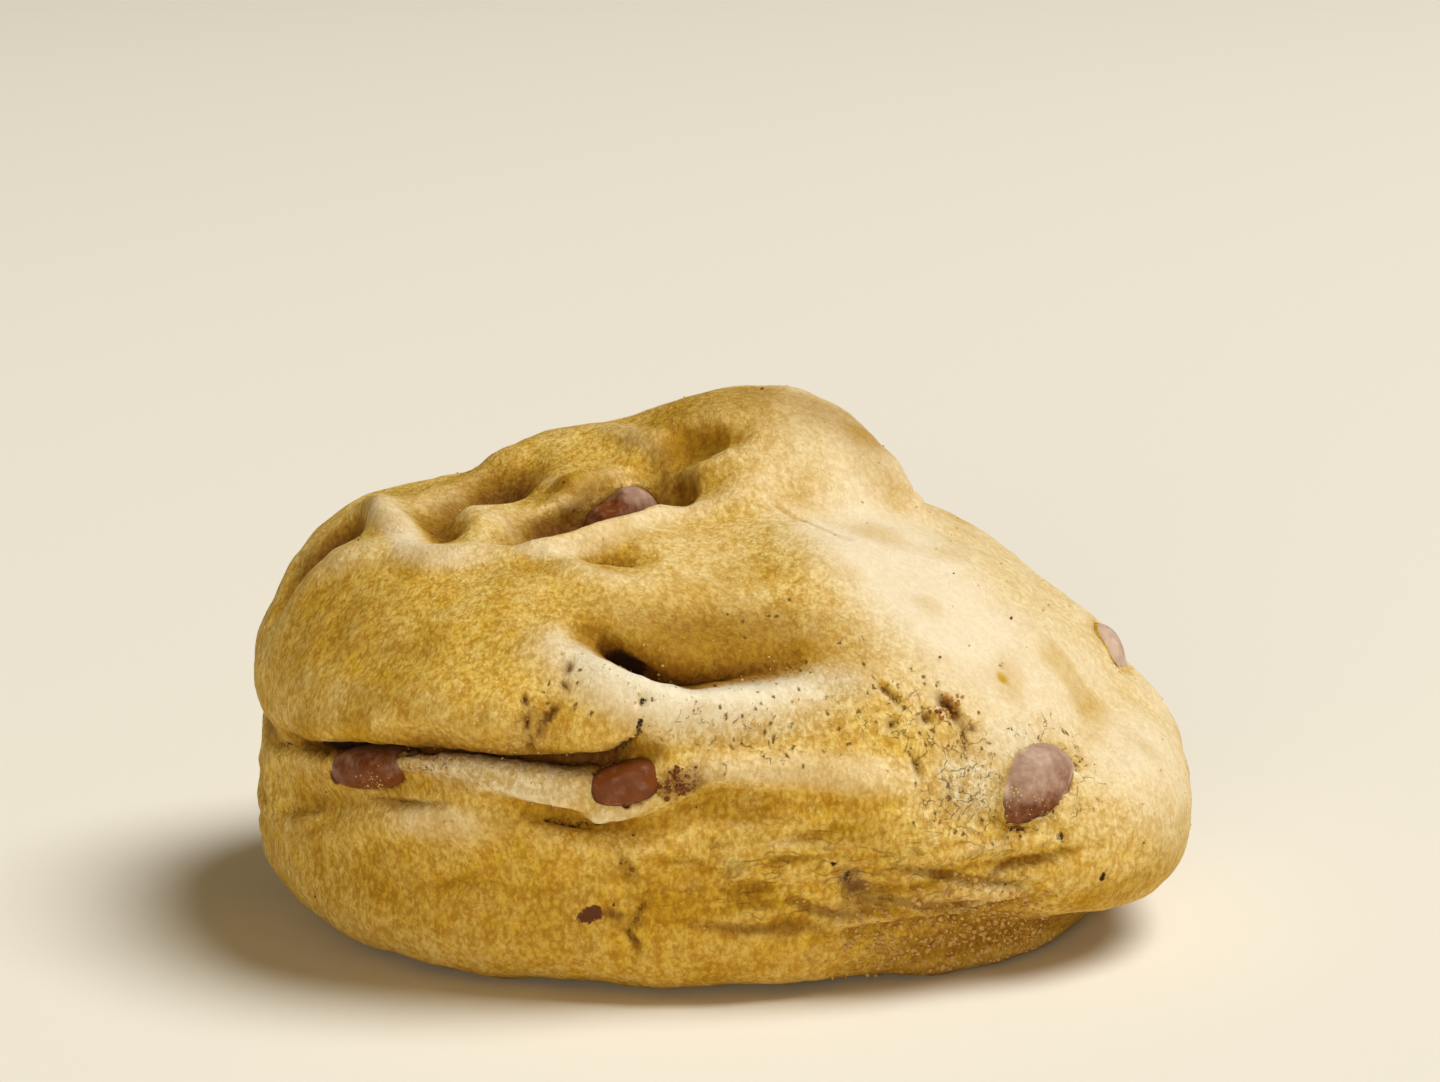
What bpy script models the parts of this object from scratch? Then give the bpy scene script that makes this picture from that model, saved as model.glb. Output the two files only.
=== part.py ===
"""A thick, mounded bakery cookie with milk chocolate pieces baked into it.

The dough is one solid. Its body is a soft union of ellipsoid lumps standing on a flat base, and the
folds, dents and ridges of its crust are strokes pressed into that body or raised from it. Each
chocolate piece is a solid of its own in a socket of the dough.

Run it with: blender --background --python part.py
The cookie stands on the plane Z = 0, its origin is under the middle, and its shown face looks at -Y.
"""

import math
from typing import NamedTuple

import bmesh
import bpy
import numpy as np
from mathutils import Euler, Matrix, Vector, noise

MM = 0.001

# Driving sizes, in millimetres. Every place below is in millimetres too, in the cookie's own frame.
HEART = np.array((0.0, 1.0, 20.0))
BASE_ROUNDING = 2.2
REACH = 80.0
BISECTIONS = 26
DOUGH_SQUARES = 29
CHIP_SQUARES = 4
# The squares of the dough are smaller on the side that this leans to, which is the shown one.
FINER_TOWARDS = Vector((-0.05, -0.18, 0.22))
SOCKET_GAP = 0.35
FLAT = 0.05
SWELL_LENGTH = 11.0
SWELL_HEIGHT = 0.7
RIPPLE_LENGTH = 4.5
RIPPLE_HEIGHT = 0.3
RIPPLE_PLACE = (31.0, 7.0, 53.0)
PATH_STEP = 2.0
NORMAL_STEP = 0.8
EASING = 0.5
END_STRENGTH = 0.35
# The place in these coordinates that stands on the part's origin, under the middle of the cookie.
MIDDLE = Vector((-0.5, 1.1, 0.0))


class Lump(NamedTuple):
    """A rounded mass of dough, with the width over which it melts into the lumps before it.

    A squareness of 2 is an ellipsoid, and a larger one has a flatter top and base and a steeper side.
    """

    at: tuple
    radii: tuple
    melt: float = 5.0
    turn: tuple = (0, 0, 0)
    squareness: float = 2.0


class Stroke(NamedTuple):
    """A dent (amount below 0) or ridge (above 0) along a path on the crust.

    A power of 1 to 2 gives a broad round stroke and a larger one a narrow, pointed one. It dies away
    over the share of its length that fade gives, at both ends.
    """

    path: tuple
    width: float
    amount: float
    power: float = 2.0
    fade: float = 0.3


class Chip(NamedTuple):
    """A chocolate piece: where it breaks the crust, its half sizes, how proud it stands, its turn."""

    towards: tuple
    radii: tuple
    proud: float
    turn: float = 0.0
    squareness: float = 2.3


LUMPS = {
    "lower_slab": Lump((-5, 0, 9.5), (40.9, 37, 11), squareness=4),
    "core": Lump((-2, 1, 19), (42, 36.5, 20)),
    "left_shoulder": Lump((-24.3, 2, 24.5), (22.7, 28, 17.6), squareness=2.15),
    "front_belly": Lump((-12, -10, 24), (30, 28.5, 17)),
    "right_slope": Lump((14.3, -1, 16.7), (28.7, 34, 22), 6, turn=(0, 37, 0)),
    "right_lobe": Lump((30.6, -6, 12.6), (15.9, 24, 11), 3, squareness=2.5),
    "summit": Lump((2.8, 6, 38.5), (15.2, 15, 12.6), 3.4, squareness=2.15),
    "saddle_mound": Lump((-12.5, 9, 35), (14, 14, 11.8), 4.5),
    "back_belly": Lump((4, 20, 22), (30, 21, 17), 6),
}

STROKES = {
    # The long fold between the upper and the lower dough, and the band below it that holds chocolate.
    "fold": Stroke(
        ((-45, -8.7, 17.5), (-40.5, -20.4, 21), (-35, -28.3, 23), (-29.9, -32.8, 24.2), (-25.1, -35.6, 24.6),
         (-20.4, -37.3, 24.6), (-15.8, -38.2, 24.3), (-11.3, -38.4, 24.1), (-6.5, -38.1, 25.1)),
        3.6, -5.4, 1.4, 0.12),
    "fold_brow": Stroke(
        ((-42, -17, 24.5), (-36, -27, 27), (-27, -34.5, 28.3), (-16, -37, 28.3), (-8, -37, 28.8)), 5.0, 1.0),
    "fold_band": Stroke(
        ((-44, -12, 15.5), (-33.5, -29.3, 20.2), (-25, -35.5, 21), (-13, -37.8, 20.9)), 3.8, -1.2),
    "lower_fold": Stroke(
        ((-21, -36.1, 19.2), (-16.8, -36.9, 18.4), (-9.5, -37.6, 17.7), (-4, -37.3, 18.8)), 2.4, -2.0),
    "lower_fold_lip": Stroke(((-14.5, -37.5, 20), (-9, -37.8, 19.4), (-4, -37.5, 20.8)), 2.2, 1.2),
    "left_fold": Stroke(((-43.5, -12.6, 13.2), (-37.6, -22.8, 15.5), (-30.1, -31.4, 18.6)), 2.0, -1.1),
    "left_foot": Stroke(((-45, -8, 10), (-45, 2, 10)), 8, 0.5),
    # The hollow in the middle of the shown face: the dough above it rolls under to a crease at the lip.
    "hollow": Stroke(((-13, -32, 36.5), (-6, -32, 35.5), (2, -31, 35.0), (8, -28, 35.5)), 7.5, -2.0, 1.5),
    "hollow_crease": Stroke(
        ((-13.5, -33.4, 35), (-9.5, -33.8, 33.2), (-6.7, -34.5, 32.1), (-4, -34.6, 31.2), (1, -33.8, 31.4),
         (6, -31.8, 31.6)), 3.6, -3.8, 1.5, 0.4),
    "hollow_lip": Stroke(
        ((-16, -33.6, 33), (-11.3, -34.9, 30.8), (-6.7, -35.9, 29.4), (-1, -34.8, 28.8), (6, -32.6, 28.6)),
        4.4, 2.2),
    # The rim along the front of the top, which runs up into the summit.
    "rim": Stroke(
        ((-42, -8, 33.6), (-38.5, -9, 36.3), (-34, -12, 37.8), (-28, -17, 38.6), (-21, -18.5, 39.4),
         (-15, -20, 39.7)), 3.2, 1.2),
    "rim_front": Stroke(((-16, -21, 39.2), (-12.5, -24.5, 38.2), (-8, -25, 37.8)), 2.6, 0.9),
    "rim_back": Stroke(
        ((-17, -18.5, 40), (-14.5, -17, 40.6), (-11.8, -15, 40.9), (-8, -11, 41.3), (-4, -10, 42.2),
         (0, -9.5, 43.6), (3, -9, 45.5)), 2.8, 1.5),
    "rim_notch": Stroke(((-14, -20.5, 39.8), (-11.5, -20, 40), (-6, -20, 39.6)), 3.0, -2.2),
    # The dents and ridges behind the rim.
    "left_dent": Stroke(((-40.5, -3.5, 34), (-38.5, -3, 37), (-35.5, -1, 39.3)), 5.0, -3.8),
    "left_ridge": Stroke(((-35, 3, 40), (-33, -4, 40), (-30.3, -11, 39.6)), 3.0, 1.7),
    "round_dent": Stroke(((-29, -4, 40.5), (-27, -10, 40.2), (-26.5, -13.5, 39.8)), 4.0, -3.2),
    "bowl": Stroke(((-19, -14, 40.6), (-15, -12, 41), (-11, -8, 41.5), (-8, -4, 42.3)), 5.4, -5.6),
    "bowl_left": Stroke(((-25, -5, 41), (-20, -3, 41.6), (-17, 1, 43)), 5.2, -4.2),
    "bowl_lump": Stroke(((-16, -5, 42), (-12, -3.2, 43), (-8.5, -2, 43.6)), 2.8, 1.8),
    "summit_dent": Stroke(((-5.3, -2.5, 46.2), (-2.3, -3.6, 46.9), (1.7, -4, 47.8)), 5.0, -4.4),
    "summit_dent_low": Stroke(((-6, -6, 42.8), (-3.5, -7, 43.4)), 3.8, -2.4),
    # The right of the shown face, the overhanging lobe and the browned foot below it.
    "nose_ridge": Stroke(((3, -9, 45), (8, -17, 39.5), (10, -25, 35)), 6, 0.8),
    "right_bulge": Stroke(((41, -2, 24), (43, -4, 20)), 8, 1.0),
    "chip_swelling": Stroke(((30.5, -28, 18.4), (24, -32, 18.5)), 6.5, 0.8),
    "shelf": Stroke(((-3, -37, 23.4), (2, -36.3, 23), (8, -35.6, 22.6), (17, -34.6, 21.2)), 2.6, 0.8),
    "below_shelf": Stroke(((-5, -37.3, 19.6), (1, -36.4, 19.4), (9, -35.6, 19.4)), 3.6, -1.2),
    "foot_groove": Stroke(((12.7, -34.4, 6.2), (19.4, -32.6, 6), (26, -30, 6.4), (32, -26.6, 6.6)), 2.4, -0.9),
    "foot": Stroke(((14, -34.5, 2.2), (22, -32, 2.4), (30, -27.5, 2.6), (35, -22, 3)), 4.6, -1.6),
    "lobe_gap": Stroke(((35, -23, 2), (39, -16, 2), (41, -8, 2), (40, 4, 2)), 5.2, -1.7),
    # The hidden side: a fold like the shown one, a hollow, a few dents and a ridge.
    "back_fold": Stroke(
        ((38, 22, 16), (28, 33, 18.5), (14, 39, 20.5), (0, 41, 20.5), (-14, 38, 19.5), (-28, 29, 18)),
        4.4, -4.2, 1.5, 0.2),
    "back_brow": Stroke(((26, 32, 23), (12, 38, 25), (-2, 39.5, 25), (-16, 35, 24)), 5.5, 0.9),
    "back_hollow": Stroke(((18, 30, 33), (12, 32, 34), (5, 33, 34)), 6.5, -3.0, 1.5),
    "back_hollow_lip": Stroke(((19, 34, 29), (12, 37, 28.5), (4, 37, 29.5)), 3.6, 1.6),
    "back_rim": Stroke(((-36, 14, 36), (-26, 21, 38), (-14, 26, 39.5), (-4, 27, 41)), 3.4, 1.4),
    "back_pinch": Stroke(((-20, 12, 42), (-12, 17, 43)), 4.6, -3.0),
    "back_summit_dent": Stroke(((6, 17, 46), (12, 17, 45)), 4.4, -2.6),
    "left_back_dent": Stroke(((-38, 22, 29), (-33, 28, 28)), 5.5, -2.6),
    "right_back_dent": Stroke(((34, 18, 27), (29, 25, 27)), 5.5, -2.4),
    "back_foot_groove": Stroke(((-30, 26, 6), (-16, 33, 6), (0, 37, 6), (14, 36, 6)), 2.6, -1.0),
}

CHIPS = {
    "chocolate_fold_left": Chip((-33.8, -29.3, 20.7), (5.8, 2.9, 3.6), 0.9, -4, 2.4),
    "chocolate_fold_middle": Chip((-8.6, -38, 22), (4.4, 2.9, 3.8), 1.2, 18, 2.8),
    "chocolate_right": Chip((30.6, -28, 18.2), (4.3, 4.9, 4.0), 1.5, 10),
    "chocolate_bowl": Chip((-10.5, -5.5, 42), (3.2, 5.4, 3.4), -1.6, -28, 2.5),
    "chocolate_far_right": Chip((43.5, 2.0, 22.5), (3.4, 4.3, 3.2), 0.6, 0),
    "chocolate_top_back": Chip((10, 22, 42), (4.6, 4.0, 3.5), 0.9, 20),
    "chocolate_back_left": Chip((-22, 31, 27), (4.4, 4.0, 3.6), 1.0, 35, 2.6),
    "chocolate_back_fold": Chip((2, 41, 18.5), (4.8, 3.2, 3.8), 1.0, 6),
    "chocolate_back_right": Chip((31, 27, 10), (4.2, 4.4, 3.8), 1.3, 50),
    "chocolate_left": Chip((-43, 17, 18), (4.0, 3.4, 3.4), 0.7, 15, 2.8),
}


def lump_distance(points, lump):
    """How far outside the lump each point is, measured from the lump's middle; negative inside."""
    turn = np.array(Euler([math.radians(angle) for angle in lump.turn]).to_matrix())
    local = (points - np.array(lump.at)) @ turn
    share = np.abs(local / np.array(lump.radii))
    level = np.hypot(share[:, 0], share[:, 1])
    reach = (level**lump.squareness + share[:, 2] ** lump.squareness) ** (1 / lump.squareness)
    return np.linalg.norm(local, axis=1) * (1.0 - 1.0 / np.maximum(reach, 0.01))


def soft_minimum(a, b, width):
    """The smaller of a and b, rounded off where they differ by less than width."""
    share = np.clip(0.5 + 0.5 * (b - a) / width, 0.0, 1.0)
    return b + (a - b) * share - width * share * (1.0 - share)


def body_distance(points):
    """How far outside the plain dough body each point is, before its strokes."""
    distance = np.full(len(points), REACH)
    for lump in LUMPS.values():
        distance = soft_minimum(distance, lump_distance(points, lump), lump.melt)
    return -soft_minimum(-distance, points[:, 2], BASE_ROUNDING)


def body_surface(directions):
    """The point of the plain body's surface that lies from the heart along each direction."""
    near = np.zeros(len(directions))
    far = np.full(len(directions), REACH)
    for _ in range(BISECTIONS):
        middle = (near + far) / 2
        outside = body_distance(HEART + directions * middle[:, None]) > 0
        far = np.where(outside, middle, far)
        near = np.where(outside, near, middle)
    return HEART + directions * near[:, None]


def towards(places):
    """The unit directions from the heart to some places."""
    arms = np.array(places, float) - HEART
    return arms / np.linalg.norm(arms, axis=1)[:, None]


def body_normals(points):
    """The outward unit normals of the plain body at some points of its surface."""
    normals = np.empty_like(points)
    for axis, step in enumerate(np.eye(3) * NORMAL_STEP):
        normals[:, axis] = body_distance(points + step) - body_distance(points - step)
    return normals / np.linalg.norm(normals, axis=1)[:, None]


def smooth_path(places):
    """A smooth curve through some places, in short steps and laid onto the plain body."""
    corners = [np.array(place, float) for place in places]
    corners = [2 * corners[0] - corners[1], *corners, 2 * corners[-1] - corners[-2]]
    curve = []
    for before, start, end, after in zip(corners, corners[1:], corners[2:], corners[3:]):
        steps = max(1, math.ceil(np.linalg.norm(end - start) / PATH_STEP))
        for share in np.arange(steps) / steps:
            straight = start + (end - start) * share
            leaving = (end - before) / 2 - (end - start)
            arriving = (after - start) / 2 - (end - start)
            bend = leaving * share * (1 - share) ** 2 - arriving * share**2 * (1 - share)
            curve.append(straight + bend)
    curve.append(corners[-2])
    return body_surface(towards(curve))


def path_distance(points, path):
    """How far each point is from a path, and at what share of its length the nearest place lies."""
    nearest = np.full(len(points), np.inf)
    place = np.zeros(len(points))
    lengths = np.linalg.norm(np.diff(path, axis=0), axis=1)
    starts = np.concatenate(([0.0], np.cumsum(lengths)[:-1]))
    for start, end, length, before in zip(path, path[1:], lengths, starts):
        run = end - start
        share = np.clip((points - start) @ run / (run @ run), 0.0, 1.0)
        beside = np.linalg.norm(points - start - share[:, None] * run, axis=1)
        closer = beside < nearest
        nearest = np.where(closer, beside, nearest)
        place = np.where(closer, before + share * length, place)
    return nearest, place / lengths.sum()


def unevenness(points):
    """The slow swell of the crust at each point, in millimetres."""
    swell = [noise.noise(Vector(point) / SWELL_LENGTH) for point in points]
    ripple = [noise.noise(Vector(point) / RIPPLE_LENGTH + Vector(RIPPLE_PLACE)) for point in points]
    return SWELL_HEIGHT * np.array(swell) + RIPPLE_HEIGHT * np.array(ripple)


def crust(directions):
    """The dough's surface along each direction from the heart, with every stroke worked in."""
    base = body_surface(directions)
    height = unevenness(base)
    for stroke in STROKES.values():
        distance, place = path_distance(base, smooth_path(stroke.path))
        across = np.clip(1.0 - (distance / stroke.width) ** 2, 0.0, 1.0) ** stroke.power
        along = np.clip(np.minimum(place, 1.0 - place) / stroke.fade, 0.0, 1.0)
        height += stroke.amount * across * (END_STRENGTH + (1.0 - END_STRENGTH) * along)
    worked = base + body_normals(base) * height[:, None]
    worked[:, 2] = np.maximum(worked[:, 2], 0.0)
    worked[base[:, 2] < FLAT, 2] = 0.0
    return worked


def sphere_of_squares(squares):
    """A bmesh of the unit sphere, made of a cube with evenly spread squares on each side."""
    ball = bmesh.new()
    bmesh.ops.create_cube(ball, size=2.0)
    bmesh.ops.subdivide_edges(ball, edges=ball.edges[:], cuts=squares - 1, use_grid_fill=True)
    for vertex in ball.verts:
        even = Vector(math.tan(side * math.pi / 4) for side in vertex.co)
        vertex.co = even.normalized()
    return ball


def make_object(name, shape, material):
    """Links a finished bmesh to the scene under a name, shaded smooth, and frees it."""
    mesh = bpy.data.meshes.new(name)
    bmesh.ops.recalc_face_normals(shape, faces=shape.faces[:])
    shape.to_mesh(mesh)
    shape.free()
    mesh.materials.append(material)
    mesh.shade_smooth()
    made = bpy.data.objects.new(name, mesh)
    bpy.context.scene.collection.objects.link(made)
    return made


def plain_material(name, colour, roughness):
    """A Principled material of one colour, given as linear red, green and blue."""
    material = bpy.data.materials.new(name)
    material.use_nodes = True
    shader = material.node_tree.nodes["Principled BSDF"]
    shader.inputs["Base Color"].default_value = (*colour, 1.0)
    shader.inputs["Roughness"].default_value = roughness
    shader.inputs["Metallic"].default_value = 0.0
    return material


def make_dough(material):
    """The whole dough solid, before the sockets of the chocolate are cut."""
    ball = sphere_of_squares(DOUGH_SQUARES)
    directions = np.array([(vertex.co + FINER_TOWARDS).normalized()[:] for vertex in ball.verts])
    for vertex, point in zip(ball.verts, crust(directions)):
        vertex.co = (Vector(point) - MIDDLE) * MM
    above_base = [vertex for vertex in ball.verts if vertex.co.z > BASE_ROUNDING * MM]
    bmesh.ops.smooth_vert(
        ball, verts=above_base, factor=EASING, use_axis_x=True, use_axis_y=True, use_axis_z=True)
    return make_object("dough", ball, material)


def make_chip(name, chip, material, grown=0.0):
    """One chocolate piece, or its socket when it is grown by a gap in millimetres."""
    outward = Vector(towards([chip.towards])[0])
    level = Vector((0, 0, 1)).cross(outward).normalized()
    rising = outward.cross(level)
    radii = np.array(chip.radii) + grown
    middle = Vector(body_surface(np.array([outward]))[0]) + outward * (chip.proud - chip.radii[2])
    axes = Matrix((level, rising, outward)).transposed()
    axes = axes @ Matrix.Rotation(math.radians(chip.turn), 3, "Z")
    piece = sphere_of_squares(CHIP_SQUARES)
    for vertex in piece.verts:
        side = np.abs(np.array(vertex.co))
        vertex.co /= (side**chip.squareness).sum() ** (1 / chip.squareness)
        vertex.co = axes @ Vector(np.array(vertex.co) * radii)
        vertex.co = (middle + vertex.co - MIDDLE) * MM
    return make_object(name, piece, material)


def cut_socket(dough, chip_name, chip, material):
    """Cuts the room that a chocolate piece fills out of the dough."""
    cutter = make_chip(chip_name + "_socket", chip, material, SOCKET_GAP)
    cutter.hide_render = True
    cutter.display_type = "WIRE"
    cut = dough.modifiers.new(cutter.name, "BOOLEAN")
    cut.operation = "DIFFERENCE"
    cut.object = cutter


def clear_scene():
    """Removes whatever the scene starts with."""
    for thing in list(bpy.data.objects):
        bpy.data.objects.remove(thing)


def main():
    """Builds the cookie."""
    clear_scene()
    baked = plain_material("baked_dough", (0.58, 0.36, 0.13), 0.75)
    chocolate = plain_material("milk_chocolate", (0.19, 0.065, 0.025), 0.4)
    dough = make_dough(baked)
    for name, chip in CHIPS.items():
        make_chip(name, chip, chocolate)
        cut_socket(dough, name, chip, chocolate)


main()
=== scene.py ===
"""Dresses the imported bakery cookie: its baked crust, its chocolate, its loose crumbs and the studio.

Places on the cookie are in millimetres from the middle of its dough, as in the part's own source. A
mark that only the photograph gives is placed by a pixel of the 1440 by 1082 photograph instead, and
is laid from there onto the body of the dough.
"""

import logging
import math
from dataclasses import dataclass, field
from enum import Enum

import bpy
import numpy as np
from mathutils import Euler, Matrix, Vector, noise
from mathutils.bvhtree import BVHTree


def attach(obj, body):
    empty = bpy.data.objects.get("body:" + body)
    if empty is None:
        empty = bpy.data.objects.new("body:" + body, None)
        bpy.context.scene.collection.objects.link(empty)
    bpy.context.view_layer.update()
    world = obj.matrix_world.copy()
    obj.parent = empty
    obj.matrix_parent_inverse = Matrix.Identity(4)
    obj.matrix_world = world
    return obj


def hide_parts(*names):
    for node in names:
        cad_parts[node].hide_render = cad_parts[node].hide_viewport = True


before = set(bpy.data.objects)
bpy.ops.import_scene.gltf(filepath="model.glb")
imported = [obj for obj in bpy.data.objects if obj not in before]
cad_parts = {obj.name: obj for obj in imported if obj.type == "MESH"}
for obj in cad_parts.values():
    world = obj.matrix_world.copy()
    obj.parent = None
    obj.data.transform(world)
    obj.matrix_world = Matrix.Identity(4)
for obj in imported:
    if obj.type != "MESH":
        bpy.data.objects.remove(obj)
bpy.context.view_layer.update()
LOG = logging.getLogger("cookie")
MM = 0.001
PHOTO_SIZE = (1440, 1082)
# Points lower than this, in millimetres, belong to the flat underside.
BASE_SKIN = 0.01
# The place in dough coordinates that stands on the part's origin, under the middle of the cookie.
MIDDLE = np.array((-0.5, 1.1, 0.0))


class Tone(Enum):
    """What a mark does to the colour of the crust, each painted into an attribute of its own."""

    # Pale also carries painted highlight, and gold, brown and dark carry painted shade, besides the crust's
    # own colours.
    PALE = "pale"
    GOLD = "gold"
    BROWN = "brown"
    DARK = "dark"
    CHOCOLATE = "chocolate"
    DUST = "dust"
    PORES = "pores"
    CRACKS = "cracks"
    WRINKLES = "wrinkles"


def linear(hex_colour: str) -> tuple[float, float, float, float]:
    """Turns an sRGB hex colour into linear red, green, blue and an alpha of 1.

    Args:
        hex_colour: six hex digits after a hash sign.

    Returns:
        The four numbers that a colour socket takes.
    """
    shares = [int(hex_colour[place : place + 2], 16) / 255 for place in (1, 3, 5)]
    light = [share / 12.92 if share <= 0.04045 else ((share + 0.055) / 1.055) ** 2.4 for share in shares]
    return (light[0], light[1], light[2], 1.0)


def add_node(
    material: bpy.types.Material,
    kind: str,
    inputs: dict[str | int, object],
    settings: dict[str, object] | None = None,
    wanted: str | int = 0,
) -> bpy.types.NodeSocket:
    """Adds one node to a material, with its settings made and its inputs set or linked.

    Args:
        material: the material whose tree gets the node.
        kind: Blender's name for the kind of node.
        inputs: a number, colour or output socket for each named or numbered input.
        settings: the node's own properties.
        wanted: the name or number of the output that is used.

    Returns:
        That output of the new node.
    """
    node = material.node_tree.nodes.new(kind)
    for name, value in (settings or {}).items():
        setattr(node, name, value)
    for name, value in inputs.items():
        if isinstance(value, bpy.types.NodeSocket):
            material.node_tree.links.new(value, node.inputs[name])
        else:
            node.inputs[name].default_value = value
    return node.outputs[wanted]


def smooth_step(low: float, high: float, values: np.ndarray) -> np.ndarray:
    """Rises smoothly from 0 at low to 1 at high."""
    share = np.clip((values - low) / (high - low), 0.0, 1.0)
    return share * share * (3.0 - 2.0 * share)


@dataclass(frozen=True)
class Swell:
    """Smooth unevenness: how wide its swells are, how high, and where its pattern lies.

    The length is in millimetres, one number or one for each axis. The shift moves the pattern, so that
    two swells don't agree.
    """

    length: float | tuple[float, float, float]
    height: float = 1.0
    shift: float | tuple[float, float, float] = 0.0

    def over(self, points: np.ndarray) -> np.ndarray:
        """The unevenness at each point, between about minus and plus the height."""
        scaled = points / np.array(self.length) + np.array(self.shift)
        return self.height * np.array([noise.noise(point) for point in scaled.tolist()])


@dataclass(frozen=True)
class Lump:
    """A rounded mass of dough, with the width over which it melts into the lumps before it."""

    at: tuple[float, float, float]
    radii: tuple[float, float, float]
    melt: float = 5.0
    turn: tuple[float, float, float] = (0, 0, 0)
    squareness: float = 2.0

    def distance(self, points: np.ndarray) -> np.ndarray:
        """How far outside the lump each point is, measured from the lump's middle."""
        turn = np.array(Euler([math.radians(angle) for angle in self.turn]).to_matrix())
        local = (points - np.array(self.at)) @ turn
        share = np.abs(local / np.array(self.radii))
        level = np.hypot(share[:, 0], share[:, 1])
        reach = (level**self.squareness + share[:, 2] ** self.squareness) ** (1 / self.squareness)
        return np.linalg.norm(local, axis=1) * (1.0 - 1.0 / np.maximum(reach, 0.01))


@dataclass(frozen=True)
class PhotoView:
    """The camera that took the photograph, as a place, a lens and the point that it looks at."""

    target: tuple[float, float, float] = (0.2, -1.1, 36.7)
    distance: float = 400.0
    elevation: float = 12.0
    lens: float = 100.0
    sensor: float = 36.0

    def backward(self) -> np.ndarray:
        """The unit direction from the target to the camera."""
        angle = math.radians(self.elevation)
        return np.array((0.0, -math.cos(angle), math.sin(angle)))

    def place(self) -> np.ndarray:
        """Where the camera stands, in millimetres from the part's origin."""
        return np.array(self.target) + self.backward() * self.distance

    def rays(self, pixels: list[tuple[float, float]]) -> np.ndarray:
        """The unit directions in which the camera sees some pixels of the photograph."""
        across = np.array((1.0, 0.0, 0.0))
        upward = np.cross(self.backward(), across)
        spread = self.sensor / self.lens / PHOTO_SIZE[0]
        away = (np.array(pixels, float) - np.array(PHOTO_SIZE) / 2) * spread
        rays = away[:, :1] * across - away[:, 1:] * upward - self.backward()
        return rays / np.linalg.norm(rays, axis=1)[:, None]

    def build(self) -> bpy.types.Object:
        """Makes the scene's camera."""
        data = bpy.data.cameras.new("photo_camera")
        data.lens = self.lens
        data.sensor_width = self.sensor
        data.clip_start = 0.01
        camera = bpy.data.objects.new("photo_camera", data)
        bpy.context.scene.collection.objects.link(camera)
        camera.location = Vector(self.place() * MM)
        camera.rotation_mode = "QUATERNION"
        camera.rotation_quaternion = Vector(-self.backward()).to_track_quat("-Z", "Y")
        bpy.context.scene.camera = camera
        return camera


@dataclass(frozen=True)
class DoughBody:
    """The plain body of the dough: lumps melted together and cut off flat at the base."""

    heart: tuple[float, float, float] = (0.0, 1.0, 20.0)
    base_rounding: float = 2.2
    reach: float = 80.0
    bisections: int = 26
    normal_step: float = 0.8
    lumps: tuple[Lump, ...] = (
        Lump((-5, 0, 9.5), (40.9, 37, 11), squareness=4),
        Lump((-2, 1, 19), (42, 36.5, 20)),
        Lump((-24.3, 2, 24.5), (22.7, 28, 17.6), squareness=2.15),
        Lump((-12, -10, 24), (30, 28.5, 17)),
        Lump((14.3, -1, 16.7), (28.7, 34, 22), 6, turn=(0, 37, 0)),
        Lump((30.6, -6, 12.6), (15.9, 24, 11), 3, squareness=2.5),
        Lump((2.8, 6, 38.5), (15.2, 15, 12.6), 3.4, squareness=2.15),
        Lump((-12.5, 9, 35), (14, 14, 11.8), 4.5),
        Lump((4, 20, 22), (30, 21, 17), 6),
    )

    @staticmethod
    def soft_minimum(a: np.ndarray, b: np.ndarray, width: float) -> np.ndarray:
        """The smaller of a and b, rounded off where they differ by less than width."""
        share = np.clip(0.5 + 0.5 * (b - a) / width, 0.0, 1.0)
        return b + (a - b) * share - width * share * (1.0 - share)

    def distance(self, points: np.ndarray) -> np.ndarray:
        """How far outside the plain body each point is."""
        distance = np.full(len(points), self.reach)
        for lump in self.lumps:
            distance = self.soft_minimum(distance, lump.distance(points), lump.melt)
        return -self.soft_minimum(-distance, points[:, 2], self.base_rounding)

    def towards(self, places: np.ndarray) -> np.ndarray:
        """The unit directions from the heart to some places."""
        arms = np.array(places, float) - np.array(self.heart)
        return arms / np.linalg.norm(arms, axis=1)[:, None]

    def surface(self, directions: np.ndarray) -> np.ndarray:
        """The point of the plain body's surface along each direction from the heart."""
        near = np.zeros(len(directions))
        far = np.full(len(directions), self.reach)
        for _ in range(self.bisections):
            middle = (near + far) / 2
            outside = self.distance(np.array(self.heart) + directions * middle[:, None]) > 0
            far = np.where(outside, middle, far)
            near = np.where(outside, near, middle)
        return np.array(self.heart) + directions * near[:, None]

    def normals(self, points: np.ndarray) -> np.ndarray:
        """The outward unit normals of the plain body at some points of its surface."""
        normals = np.empty_like(points)
        for axis, step in enumerate(np.eye(3) * self.normal_step):
            normals[:, axis] = self.distance(points + step) - self.distance(points - step)
        return normals / np.linalg.norm(normals, axis=1)[:, None]


@dataclass(frozen=True)
class Stroke:
    """A dent (amount below 0) or ridge (above 0) along a path on the crust, and what it paints.

    The path is in millimetres, or in pixels of the photograph where each place has two numbers. The
    stroke dies away over the share of its length that fade gives. Its drag carries the crust along
    sideways, which makes one edge hang over the other, and its paint gives the strength of each tone.
    """

    path: tuple[tuple[float, ...], ...]
    width: float
    amount: float = 0.0
    power: float = 2.0
    fade: float = 0.3
    drag: tuple[float, float, float] = (0.0, 0.0, 0.0)
    paint: dict[Tone, float] = field(default_factory=dict)
    ragged: float = 0.0


@dataclass(frozen=True)
class ChipPlace:
    """A chocolate piece: where it breaks the crust, its half sizes, how proud it stands, its turn."""

    towards: tuple[float, float, float]
    radii: tuple[float, float, float]
    proud: float
    turn: float = 0.0
    squareness: float = 2.3
    dusted: float = 0.3


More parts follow.
